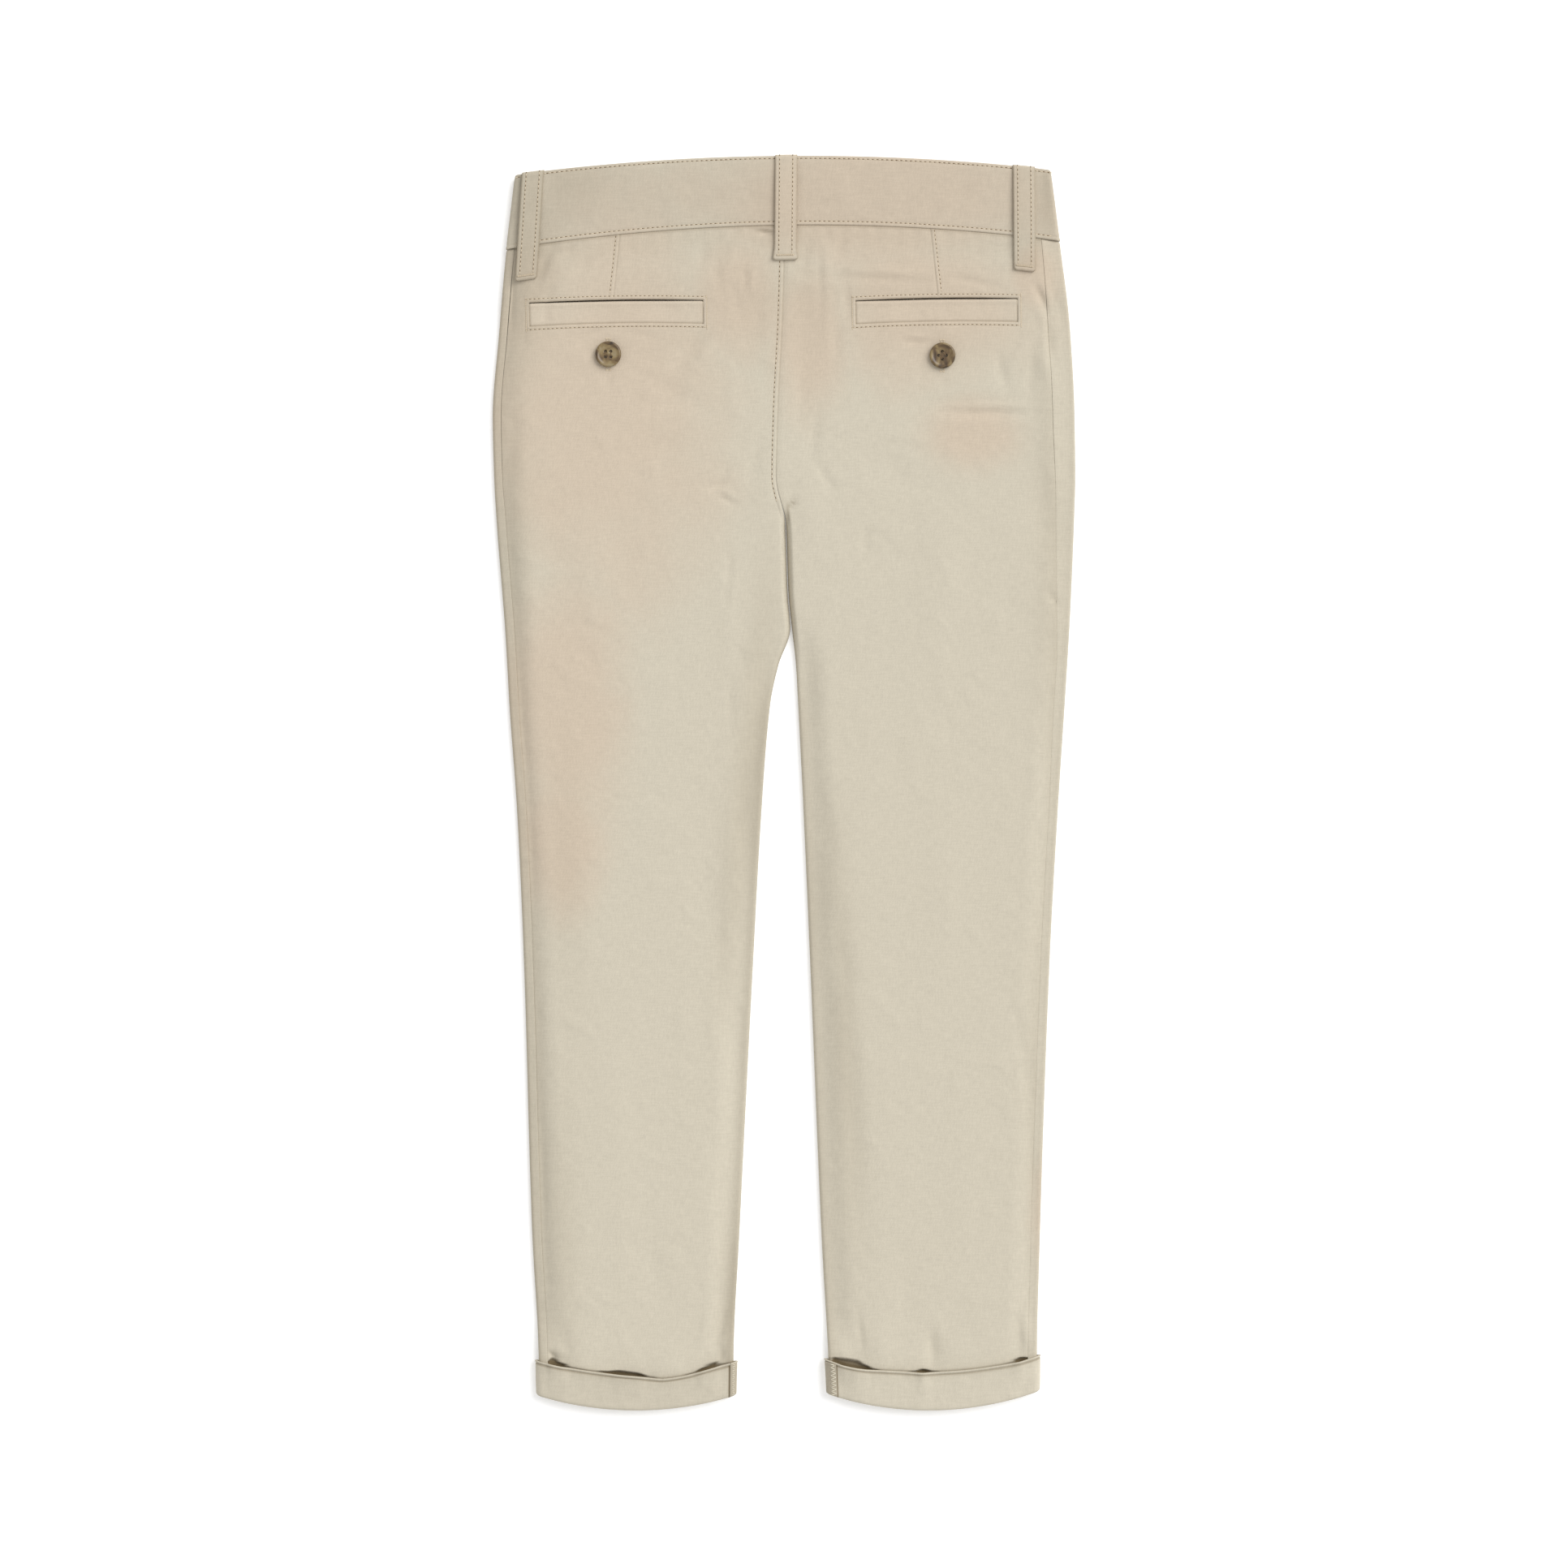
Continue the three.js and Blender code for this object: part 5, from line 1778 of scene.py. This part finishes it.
@dataclass
class Waistband:
    """Half of the waistband, from the middle of the back round the side to the middle of the front."""

    leg: Leg
    cloth: float = 1.9
    edge_stitch: float = 2.1
    top_stitch: float = 1.6
    ridge: float = 0.34

    def outline(self) -> list[tuple[float, float]]:
        """The band's closed section.

        Returns:
            How far up and how far out of its face each point is.
        """
        tall, cloth, high = LAY.band_height, self.cloth, LAY.band_height - self.top_stitch
        foot = [(0.5, -cloth), (0.1, -1.2), (0.0, -0.5), (0.08, 0.05), (0.35, 0.26), (0.8, self.ridge)]
        ridge = [(1.3, 0.3), (1.75, 0.16), (self.edge_stitch, 0.0), (2.5, 0.08), (3.0, 0.16)]
        face = [(up, 0.16) for up in steps(4.2, tall - 4.2, 1.8)]
        stitched = [(-1.0, 0.14), (-0.4, 0.02), (0, -0.04), (0.4, 0.02), (0.8, 0.02)]
        top = [(high + up, out) for up, out in stitched]
        edge = [(-0.4, -0.15), (-0.1, -0.5), (0, -0.95), (-0.1, -1.4), (-0.5, -cloth)]
        over = [(tall + up, out) for up, out in edge]
        back = [(up, -cloth) for up in steps(tall - 4, 4, 6)]
        return foot + ridge + face + top + over + back

    def columns(self) -> list[Column]:
        """Lines from the middle of the back round the side to the middle of the front.

        Returns:
            Them, in order.
        """
        width, inner, outer = float(self.leg.width(-18.0)), Where.FROM_INNER, Where.FROM_OUTER
        back = [Column(inner, inward) for inward in steps(0, width - 16, 2.2)]
        edge = [Column(outer, inward) for inward in steps(14.5, 3.2, 1.4)]
        fold = [Column(Where.FOLD, angle) for angle in steps(90, 270, 12)]
        under_edge = [Column(outer, inward, True) for inward in steps(3.5, 16, 2.5)]
        front = [Column(inner, inward, True) for inward in steps(width - 19, 0, 3)]
        return back + edge + fold + under_edge + front

    def build(self, finishes: Finishes) -> bpy.types.Object:
        """Makes the half band.

        Args:
            finishes: The garment's finishes.

        Returns:
            The half band.
        """
        up, out = np.array(self.outline()).T
        sections = []
        for column in self.columns():
            points, outs = self.leg.place(-up, column)
            ripple = 0.05 * np.sin(points[:, 0] / 5.1 + up / 7) * ease(up / 6)
            sections.append(points + outs * (out + ripple)[:, None])
        grid = np.stack(sections, axis=0)
        high = LAY.band_height - self.top_stitch
        # Painted shade under the band's foot, along both stitched rows and at its folded top edge, with
        # the soft strokes of painted shade.
        shade = 0.22 * bump(up, 0.3) + 0.06 * bump(up - self.edge_stitch, 0.5)
        shade = shade + 0.06 * bump(up - high, 0.4)
        shade = shade + 0.12 * bump(LAY.band_height - up, 0.4)
        bm = closed_sheet(grid, shade + relief(SOFT_SHADOWS, grid[..., 0], grid[..., 1]))
        side, flat = self.leg.side.value, Cut(300, LAY.band_height)
        return cloth_piece(f"waistband_half_{side}", bm, finishes.band_cloth, f"waistband_{side}")

    def sew(self, sewing: Sewing) -> None:
        """Sews the edge stitching above the waist seam and the topstitching at the upper edge.

        Args:
            sewing: The rows that this joins.
        """
        inward = np.array(steps(0.6, float(self.leg.width(0)) - 4, 2.0))
        for up, out in ((self.edge_stitch, 0.02), (LAY.band_height - self.top_stitch, -0.02)):
            for under, ups in ((False, UP), (True, DOWN)):
                column = Column(Where.FROM_INNER, inward, under)
                points, outs = self.leg.place(np.full_like(inward, -up), column)
                sewing.row(points + outs * out, TOPSTITCH, ups)


@dataclass
class Cuff:
    """The turned-up cuff of one leg: its cloth folds outwards at the foot and runs back up the leg."""

    leg: Leg
    cloth: float = 1.6
    lip: float = 1.2
    lip_out: float = 0.3

    @property
    def flap(self) -> float:
        """How much of the inseam's allowance shows at the cuff's inner side."""
        return INSEAM_FLAPS[self.leg.side]

    def outline(self, height: float) -> list[tuple[float, float]]:
        """The cuff's closed section.

        Args:
            height: How high its free edge is there.

        Returns:
            How far up from the fold and how far off the leg each point is.
        """
        outer, seam, bead, lip = LAY.seam + self.cloth, LAY.seam, LAY.cuff_bead, height - self.lip
        edge = [
            (height - 1.2, seam),
            (height - 0.45, seam + 0.1),
            (height - 0.05, seam + 0.6),
            (height, outer - 0.45),
            (height - 0.2, outer + self.lip_out * 0.6),
            (height - 0.6, outer + self.lip_out),
            (height - self.lip * 0.75, outer + self.lip_out * 0.7),
        ]
        below = [(0, 0.22), (0.35, 0.25), (0.9, 0.05), (1.8, 0)]
        under_lip = [(lip - down, outer - sunk) for down, sunk in below]
        face = [(up, outer) for up in steps(lip - 3.4, bead + 1.2, 1.7)]
        turn = [
            (bead * (1 + math.cos(math.radians(a))), outer - bead * (1 - math.sin(math.radians(a))))
            for a in steps(90, 270, 18)
        ]
        inside = [(bead, seam)] + [(up, seam) for up in steps(4, height - 3, 4)]
        return edge + under_lip + face + turn + inside

    def columns(self) -> list[Column]:
        """Lines all round the leg, from its inner side over the top and back along the underside.

        Returns:
            Them, in order.
        """
        _, width = self.leg.hem
        curl = [Column(Where.CURL, angle) for angle in (0, 15, 30, 45, 60, 75, 90)]
        inwards = [2.6] if self.flap > 3.2 else []
        inwards += [self.flap + more for more in (-0.3, 0.0, 0.2, 0.45, 0.8)]
        inwards += steps(self.flap + 1.6, width - 3.0, 1.3)
        top = [Column(Where.FROM_INNER, inward) for inward in inwards]
        fold = [Column(Where.FOLD, angle) for angle in steps(90, 270, 12)]
        under = [Column(Where.FROM_INNER, inward, True) for inward in steps(width - 3.5, 2.8, 2.8)]
        back = [Column(Where.CURL, angle, True) for angle in (90, 75, 60, 45, 30, 15)]
        return curl + top + fold + under + back

    def section(self, column: Column) -> Numbers:
        """The closed section of the cuff in one column.

        Args:
            column: The line down the leg.

        Returns:
            The section's points.
        """
        inner, width = self.leg.hem
        on_hem, _ = self.leg.place(np.array([LAY.leg_length]), column)
        share = abs(on_hem[0, 0] - inner) / width
        height = float(self.leg.cuff_height(share))
        hidden = column.under or (column.where is Where.FOLD and column.value > 90)
        gape = 0.0 if hidden else float(self.leg.cuff_gape(share))
        up, out = np.array(self.outline(height)).T
        points, outs = self.leg.place(LAY.leg_length - up, column)
        ripple = 0.07 * math.sin(share * 21) * np.sin(up / 5)
        return points + outs * (out + gape * (up / height) ** 2 + ripple)[:, None]

    @staticmethod
    def _even(sections: list[Numbers]) -> Numbers:
        """Gives all sections as many points as the fullest one.

        Args:
            sections: The sections' points.

        Returns:
            One grid, sampled along each section.
        """
        count, evened = max(len(section) for section in sections), []
        for section in sections:
            places, known = np.linspace(0, len(section) - 1, count), range(len(section))
            evened.append(np.stack([np.interp(places, known, axis) for axis in section.T], -1))
        return np.stack(evened, axis=0)

    def build(self, finishes: Finishes) -> bpy.types.Object:
        """Makes the cuff as one closed ring.

        Args:
            finishes: The garment's finishes.

        Returns:
            The cuff.
        """
        columns = self.columns()
        grid = self._even([self.section(column) for column in columns])
        from_edge = np.linalg.norm(grid - grid[:, 5:6], axis=-1)
        # Painted shade: a dark line under the cuff's lip, a fainter band below it and a dark line along
        # the edge of the inseam's allowance; CUFF_SHADE darkens the left cuff all over.
        below_lip = from_edge - self.lip
        shade = 0.62 * bump(below_lip, 0.32) + 0.08 * bump(np.maximum(below_lip, 0), 2.5)
        from_flap = [
            column.value - self.flap
            if column.where is Where.FROM_INNER and not column.under
            else math.inf
            for column in columns
        ]
        line = bump(np.array(from_flap) - 0.2, 0.4)[:, None] * (from_edge > 1)
        bm = closed_sheet(grid, np.minimum(shade + CUFF_SHADE[self.leg.side] + line, 1), ring=True)
        side = self.leg.side.value
        return cloth_piece(f"turn_up_{side}", bm, finishes.cloth, f"cuff_{side}")

    def face_line(self, up: Numbers, inward: Numbers, out: float) -> Numbers:
        """Points on the cuff's upper face.

        Args:
            up: Distances up from the fold.
            inward: Distances in from the inner side.
            out: How far the points stand off the face.

        Returns:
            The points, in rows of x, y and z.
        """
        up, inward = np.broadcast_arrays(np.asarray(up, float), np.asarray(inward, float))
        share = inward / self.leg.hem[1]
        gape = self.leg.cuff_gape(share) * (up / self.leg.cuff_height(share)) ** 2
        points, outs = self.leg.place(LAY.leg_length - up, Column(Where.FROM_INNER, inward))
        return points + outs * (LAY.seam + self.cloth + out + gape)[..., None]

    def sew(self, overlock: Sewing) -> None:
        """Sews the overlocked edge of the inseam, which the turned-up cloth shows at its inner side."""
        line = self.face_line(np.array(steps(1.4, 18.6, 1.0)), self.flap * 0.55, 0.6)
        overlock.zigzag(line, self.flap * 0.85, 1.1, 0.42)


@dataclass
class InseamFlap:
    """The inseam's allowance on a cuff: a narrow strip along its inner side, pressed to one side.

    It is part of the cuff's own cloth.
    """

    cuff: Cuff
    thick: float = 0.55

    def build(self, finishes: Finishes) -> bpy.types.Object:
        """Makes the strip.

        Args:
            finishes: The garment's finishes.

        Returns:
            The strip.
        """
        cuff, width = self.cuff, self.cuff.flap
        up = np.array([0.9, 1.3, *steps(2.2, 18.4, 1.6), 19.0])
        marks = [(width * share, 0.0) for share in (0.05, 0.2, 0.4, 0.6, 0.8)]
        marks += [(width - 0.25, 0.0), (width - 0.08, 0.12), (width, self.thick)]
        columns = [cuff.face_line(up, inward, self.thick - drop) for inward, drop in marks]
        # The whole strip is darkened by the shade attribute, 0.42 of the way to its colour.
        bm = grid_sheet(np.stack(columns, axis=1), 0.42)
        face_towards(bm, 3, UP)
        name = f"inseam_allowance_{cuff.leg.side.value}"
        return cloth_piece(name, bm, finishes.cloth, wall=self.thick)


@dataclass
class Strap:
    """The run of a belt loop, from the waist's edge to below the waist seam."""

    name: str
    top: float
    foot: float
    width: float = 11.9
    below: float = 18.5

    @property
    def leg(self) -> Leg:
        """The leg whose sections the strap crosses."""
        return LEGS[Side.LEFT if self.top < 0 else Side.RIGHT]

    @property
    def length(self) -> float:
        """Length of the strap as it shows."""
        return LAY.band_height + self.below

    def centre(self, t: Numbers) -> Numbers:
        """x of the strap's middle at shares of its length."""
        return self.top + (self.foot - self.top) * t


@dataclass
class BeltLoop(Strap):
    """A belt loop of the back: a folded strap that stands off the band, with a rounded foot."""

    belt: float = 0.9
    cloth: float = 1.25
    flare: float = 0.0
    round: float = 1.7
    shade: float = 0.05

    def stands_off(self, t: Numbers) -> Numbers:
        """How high the strap's face stands off the cloth at shares of its length."""
        return LAY.seam + self.cloth + self.belt * np.sin(math.pi * t) ** 2 + 0.12 * np.sin(9 * t)

    def line(self) -> list[tuple[float, float]]:
        """The strap's run.

        Returns:
            How far down and how high off the cloth each point of its face is.
        """
        high, end = -LAY.band_height, self.below
        over = [(high - 0.6, -2.6), (high - 0.6, -1.2), (high - 0.5, -0.2), (high - 0.25, 0.7)]
        run = [(high + t * self.length, self.stands_off(t)) for t in steps(0.012, 0.955, 0.03)]
        fold = [(end - 1.6, 1.95), (end - 0.9, 2.1), (end - 0.4, 2.02), (end, 1.8), (end + 0.25, 1.5)]
        return over + run + fold + [(end + 0.37, 1.15), (end + 0.4, 0.8)]

    def section(self) -> list[tuple[float, float]]:
        """The strap's closed section.

        Returns:
            Each point's share of the half width and its depth below the face.
        """
        face = [(-0.96, 0.14), (-0.84, 0.03), (-0.6, 0.05), (-0.4, -0.02), (-0.2, -0.05), (0, -0.06)]
        upper = face + [(-share, depth) for share, depth in face[-2::-1]]
        edge = [(1.0, 0.4), (1.0, 0.85), (0.94, self.cloth)]
        return upper + edge + [(0.0, self.cloth)] + [(-share, depth) for share, depth in edge[::-1]]

    def build(self, finishes: Finishes) -> bpy.types.Object:
        """Makes the strap.

        Args:
            finishes: The garment's finishes.

        Returns:
            The strap.
        """
        down, off = np.array(self.line()).T[..., None]
        share, depth = np.array(self.section()).T[:, None, :]
        t = (down + LAY.band_height) / self.length
        short = np.clip(self.round - (self.below + 0.4 - down), 0, self.round)
        wide = self.width / 2 + self.flare * ease((t - 0.86) / 0.14)
        wide = wide - self.round + np.sqrt(self.round**2 - 0.96 * short**2)
        x = self.centre(t) + share * wide
        z = self.leg.top(np.maximum(down, -LAY.band_height), self.centre(t)) + off - depth
        # Painted shade: the loop's own share, a dark line along both folded edges and one above the
        # foot's fold.
        shade = self.shade + 0.3 * (np.abs(share) > 0.95) + 0.2 * bump(down - self.below + 2.1, 0.4)
        bm = closed_sheet(np.stack([x, self.leg.section_y(down + 0 * x, x), z], axis=-1), shade)
        name, flat = self.name.replace("loop_back", "belt_loop"), Cut(self.width, self.length)
        return cloth_piece(name, bm, finishes.cloth, self.name)

    def sew(self, sewing: Sewing) -> None:
        """Sews the two rows down the strap and the bar tack across its foot.

        Args:
            sewing: The rows that this joins.
        """
        t = np.array(steps(0.0, 0.95, 0.04))
        for share in (-0.6, 0.6):
            sewing.row(self._on(self.centre(t) + share * self.width / 2, t, 0.0), FINE_STITCH)
        x = self.foot + np.array(steps(-0.78, 0.78, 0.1)) * self.width / 2
        for up in (2.0, 2.4):
            sewing.row(self._on(x, np.full_like(x, 1 - up / self.length), 0.42), BAR_TACK)

    def _on(self, x: Numbers, t: Numbers, raised: float) -> Numbers:
        """Points on the strap's face.

        Args:
            x: The points' x.
            t: Their shares of its length.
            raised: How far they stand off it.

        Returns:
            The points, in rows of x, y and z.
        """
        down = -LAY.band_height + t * self.length
        z = self.leg.top(down, self.centre(t)) + self.stands_off(t) + raised
        return np.stack([x, self.leg.section_y(down, x), z], axis=-1)


@dataclass
class FrontLoop(Strap):
    """A belt loop of the front, pressed flat under the garment."""

    width: float = 11.5
    cloth: float = 1.0

    def build(self, finishes: Finishes) -> bpy.types.Object:
        """Makes the strap.

        Args:
            finishes: The garment's finishes.

        Returns:
            The strap.
        """
        half = [(-1, 0.5), (-0.98, 0.25), (-0.92, 0.05), (-0.6, 0.1), (0, 0.0)]
        section = half + [(-share, deep) for share, deep in half[-2::-1]]
        section += [(0.98, 0.9), (0, 1.0), (-0.98, 0.9)]
        share, deep = np.array(section).T[:, None, :]
        t = np.array(steps(0, 1, 0.05))[:, None]
        x = self.centre(t) + share * self.width / 2
        y = self.leg.section_y(-LAY.band_height + t * self.length + 0 * x, x)
        z = np.minimum(np.maximum(deep, 0.3 * bump(np.minimum(t, 1 - t), 0.02)), self.cloth)
        name, flat = self.name.replace("loop_front", "front_belt_loop"), Cut(self.width, self.length)
        return cloth_piece(name, closed_sheet(np.stack([x, y, z], -1)), finishes.cloth, self.name)


@dataclass
class HornButton:
    """A four-hole button and the thread through its holes."""

    name: str
    x: float
    y: float
    z: float
    turn: float
    upside_down: bool = False

    def profile(self) -> list[tuple[float, float]]:
        """The button's half section.

        Returns:
            Each point's distance from the axis and its height above the back.
        """
        r, t = BUTTON.radius, BUTTON.thickness
        dished = t - BUTTON.dish
        back = [(0.0, 0.0), (r - 2.2, 0.0), (r - 0.9, 0.25), (r - 0.25, 0.8), (r, 1.4)]
        rim = [(r - 0.2, t - 0.35), (r - 0.6, t - 0.05), (r - 1.0, t), (r - 1.45, t - 0.12)]
        dish = [(r - 1.9, dished + 0.1), (r - 2.5, dished)]
        dish += [(r - 4.0, dished - 0.06), (0.0, dished - 0.06)]
        return back + rim + dish

    def holes(self) -> list[Vector]:
        """The middles of the four holes."""
        angles = [math.radians(45 + self.turn) + quarter * math.pi / 2 for quarter in range(4)]
        return [Vector((BUTTON.spread * math.cos(a), BUTTON.spread * math.sin(a), 0)) for a in angles]

    def body(self) -> bmesh.types.BMesh:
        """The turned disc with its four holes drilled, before it is placed.

        Returns:
            Its shape.
        """
        shapes = {"disc": bmesh.new(), "drills": bmesh.new()}
        bm = shapes["disc"]
        verts = [bm.verts.new((r, 0, z)) for r, z in self.profile()]
        edges = [bm.edges.new(pair) for pair in zip(verts, verts[1:])]
        round_axis = {"axis": UP, "cent": (0, 0, 0), "angle": 2 * math.pi}
        bmesh.ops.spin(bm, geom=verts + edges, steps=56, use_merge=True, **round_axis)
        bmesh.ops.remove_doubles(bm, verts=bm.verts[:], dist=0.005)
        bmesh.ops.recalc_face_normals(bm, faces=bm.faces[:])
        drill = {"cap_ends": True, "segments": 16, "depth": 6}
        drill |= {"radius1": BUTTON.hole, "radius2": BUTTON.hole}
        for hole in self.holes():
            at = Matrix.Translation((hole.x, hole.y, 1))
            bmesh.ops.create_cone(shapes["drills"], matrix=at, **drill)
        parts = []
        for name, shape in shapes.items():
            mesh = bpy.data.meshes.new(name)
            shape.to_mesh(mesh)
            shape.free()
            parts.append(bpy.data.objects.new(name, mesh))
            bpy.context.scene.collection.objects.link(parts[-1])
        disc = parts[0]
        bored = disc.modifiers.new("holes", "BOOLEAN")
        bored.operation = "DIFFERENCE"
        bored.object = parts[1]
        soft = disc.modifiers.new("soft rims", "BEVEL")
        soft.width = 0.12
        soft.segments = 2
        soft.limit_method = "ANGLE"
        soft.angle_limit = math.radians(50)
        depsgraph = bpy.context.evaluated_depsgraph_get()
        drilled = bpy.data.meshes.new_from_object(disc.evaluated_get(depsgraph))
        for part in parts:
            mesh = part.data
            bpy.data.objects.remove(part)
            bpy.data.meshes.remove(mesh)
        holder = bmesh.new()
        holder.from_mesh(drilled)
        bpy.data.meshes.remove(drilled)
        return holder

    def placing(self) -> Matrix:
        """Where the button lies, face up or face down."""
        over = Matrix.Rotation(math.pi, 4, "Y") if self.upside_down else Matrix.Identity(4)
        return Matrix.Translation((self.x, self.y, self.z)) @ over

    def build(self, finishes: Finishes) -> bpy.types.Object:
        """Makes the button.

        Args:
            finishes: The garment's finishes.

        Returns:
            The button.
        """
        bm = self.body()
        bmesh.ops.transform(bm, matrix=self.placing(), verts=bm.verts[:])
        name = self.name.replace("button_", "horn_button_")
        return finish_piece(name, bm, [finishes.horn], self.name)

    def sew(self, sewing: Sewing) -> None:
        """Sews the thread through the holes.

        Args:
            sewing: The rows that this joins.
        """
        holes, place = self.holes(), self.placing()
        face = Vector((0, 0, BUTTON.thickness - BUTTON.dish - 0.05))
        up = Vector(DOWN if self.upside_down else UP)
        for (a, b), side in product(((0, 3), (1, 2)), (-0.16, 0.16)):
            offset = (holes[b] - holes[a]).cross(Vector(UP)).normalized() * side
            start, end = (place @ (hole * 0.98 + offset + face) for hole in (holes[a], holes[b]))
            size = ((end - start).length + 0.5, 0.36, 0.4)
            sewing.bead((start + end) / 2, (end - start).normalized(), up, size, Sewing.HOLE)


@dataclass
class Buttonhole:
    """The worked buttonhole under a pocket's button: two legs of close stitches with a slit between."""

    panel: BackPanel
    length: float = 17.6
    leg_width: float = 1.15
    slit: float = 0.5

    def sew(self, sewing: Sewing) -> None:
        """Sews both legs and the tacks across their ends.

        Args:
            sewing: The rows that this joins.
        """
        x, y = self.panel.pocket.button
        ys = np.array(steps(y - self.length / 2, y + self.length / 2, 1.0))
        xs = np.array(steps(x - 1.3, x + 1.3, 0.5))
        for side in (-1, 1):
            beside = np.full_like(ys, x + side * (self.slit + self.leg_width) / 2)
            sewing.zigzag(self.panel.on(beside, ys), self.leg_width, 0.42, 0.3)
        for end in (-1, 1):
            tack = np.full_like(xs, y + end * (self.length / 2 - 0.3))
            sewing.zigzag(self.panel.on(xs, tack), 1.2, 0.36, 0.3)


# The studio


@dataclass(frozen=True)
class Studio:
    """A plain white floor, soft light from the upper right, and a camera straight above."""

    view_mm: float = 850.0  # width of the picture at the cloth
    picture_px: int = 1932
    centre_px: tuple[float, float] = (966.0, 965.0)  # where the garment's origin lies in the picture
    lens_mm: float = 100.0
    sensor_mm: float = 36.0
    focus_height_mm: float = 3.0
    floor_m: float = 8.0
    floor_gap_mm: float = 0.2  # how far the floor lies below the garment
    ambient: float = 0.68
    sun: float = 2.1
    sun_height: float = 42.0  # degrees above the floor
    sun_bearing: float = 38.0  # degrees from +X towards +Y
    sun_width: float = 46.0  # degrees

    def build(self) -> None:
        """Makes the floor, the lights and the camera."""
        scene = bpy.context.scene
        scene.view_settings.view_transform = "Standard"
        bm = bmesh.new()
        bmesh.ops.create_grid(bm, x_segments=8, y_segments=8, size=self.floor_m / 2)
        mesh = bpy.data.meshes.new("floor")
        bm.to_mesh(mesh)
        bm.free()
        mesh.transform(Matrix.Translation((0, 0, -self.floor_gap_mm * MM)))
        mesh.materials.append(LightTable().make())
        floor = bpy.data.objects.new("floor", mesh)
        scene.collection.objects.link(floor)
        self._light(scene)
        self._camera(scene)

    def _light(self, scene: bpy.types.Scene) -> None:
        """Makes the even ambient light and the broad soft light from the upper right.

        Args:
            scene: The scene that they light.
        """
        scene.world = bpy.data.worlds.new("studio")
        scene.world.use_nodes = True
        background = scene.world.node_tree.nodes["Background"]
        set_inputs(background, {"Color": (1, 1, 1, 1), "Strength": self.ambient})
        data = bpy.data.lights.new("broad soft light", "SUN")
        data.energy = self.sun
        data.angle = math.radians(self.sun_width)
        light = bpy.data.objects.new("broad soft light", data)
        height, bearing = math.radians(self.sun_height), math.radians(self.sun_bearing)
        flat = math.cos(height)
        towards = Vector((flat * math.cos(bearing), flat * math.sin(bearing), math.sin(height)))
        light.rotation_mode = "QUATERNION"
        light.rotation_quaternion = (-towards).to_track_quat("-Z", "Y")
        scene.collection.objects.link(light)

    def _camera(self, scene: bpy.types.Scene) -> None:
        """Makes the camera, which looks straight down.

        Args:
            scene: The scene that it shows.
        """
        scale, middle = self.view_mm / self.picture_px, self.picture_px / 2
        distance = self.view_mm * self.lens_mm / self.sensor_mm + self.focus_height_mm
        data = bpy.data.cameras.new("camera")
        data.lens = self.lens_mm
        data.sensor_width = self.sensor_mm
        camera = bpy.data.objects.new("camera", data)
        x, y = (middle - self.centre_px[0]) * scale, (self.centre_px[1] - middle) * scale
        camera.location = Vector((x, y, distance)) * MM
        scene.collection.objects.link(camera)
        scene.camera = camera
        log.info("camera at %.3f m above the floor", camera.location.z)


def back_button(panel: BackPanel) -> HornButton:
    """The button of a back pocket, resting on the highest cloth under its rim.

    Args:
        panel: The panel that it is sewn to.

    Returns:
        The button.
    """
    x, y = panel.pocket.button
    turns = np.radians(np.arange(0, 360, 45))
    xs = x + BUTTON.radius * np.append(np.cos(turns), 0)
    ys = y + BUTTON.radius * np.append(np.sin(turns), 0)
    height = float(panel.height(xs, ys).max()) + LAY.seam
    return HornButton(f"button_pocket_{panel.leg.side.value}", x, y, height, panel.pocket.button_turn)


def main() -> None:
    """Builds the garment piece by piece, then the studio round it."""
    logging.basicConfig(level=logging.INFO, format="%(message)s")
    finishes = Finishes.make()
    Studio().build()
    seams, band_rows, front_rows, loop_rows = (
        Sewing("stitching_" + name) for name in ("back", "waistband", "front", "belt_loops")
    )
    overlock = Sewing("overlocking_cuffs")
    for side, leg in LEGS.items():
        panel = BackPanel(leg, POCKETS[side])
        panel.build(finishes)
        panel.sew(seams)
        Welt(panel).build(finishes)
        button = back_button(panel)
        button.build(finishes)
        button.sew(seams)
        Buttonhole(panel).sew(seams)
        front = FrontPanel(leg)
        front.build(finishes)
        front.sew(front_rows)
        band = Waistband(leg)
        band.build(finishes)
        band.sew(band_rows)
        cuff = Cuff(leg)
        cuff.build(finishes)
        cuff.sew(overlock)
        InseamFlap(cuff).build(finishes)
    # Each loop's last number is its share of painted shade.
    for name, top, foot, flare, shade in (
        ("loop_back_centre", 1.2, 0.7, 0.9, 0.06),
        ("loop_back_left", -135.8, -139.6, 0.0, 0.27),
        ("loop_back_right", 129.8, 130.2, -0.1, 0.14),
    ):
        loop = BeltLoop(name, top, foot, flare=flare, shade=shade)
        loop.build(finishes)
        loop.sew(loop_rows)
    for name, top, foot in (("loop_front_left", -72, -73), ("loop_front_right", 72, 73)):
        FrontLoop(name, top, foot).build(finishes)
    waist = HornButton("button_waist", WAIST_BUTTON_X, waist_button_y(), BUTTON.thickness, 0, True)
    waist.build(finishes)
    waist.sew(front_rows)
    for sewing in (seams, band_rows, front_rows, loop_rows):
        sewing.finish(finishes.thread, finishes.needle_hole)
    overlock.finish(finishes.overlock, finishes.needle_hole)


if __name__ == "__main__":
    main()
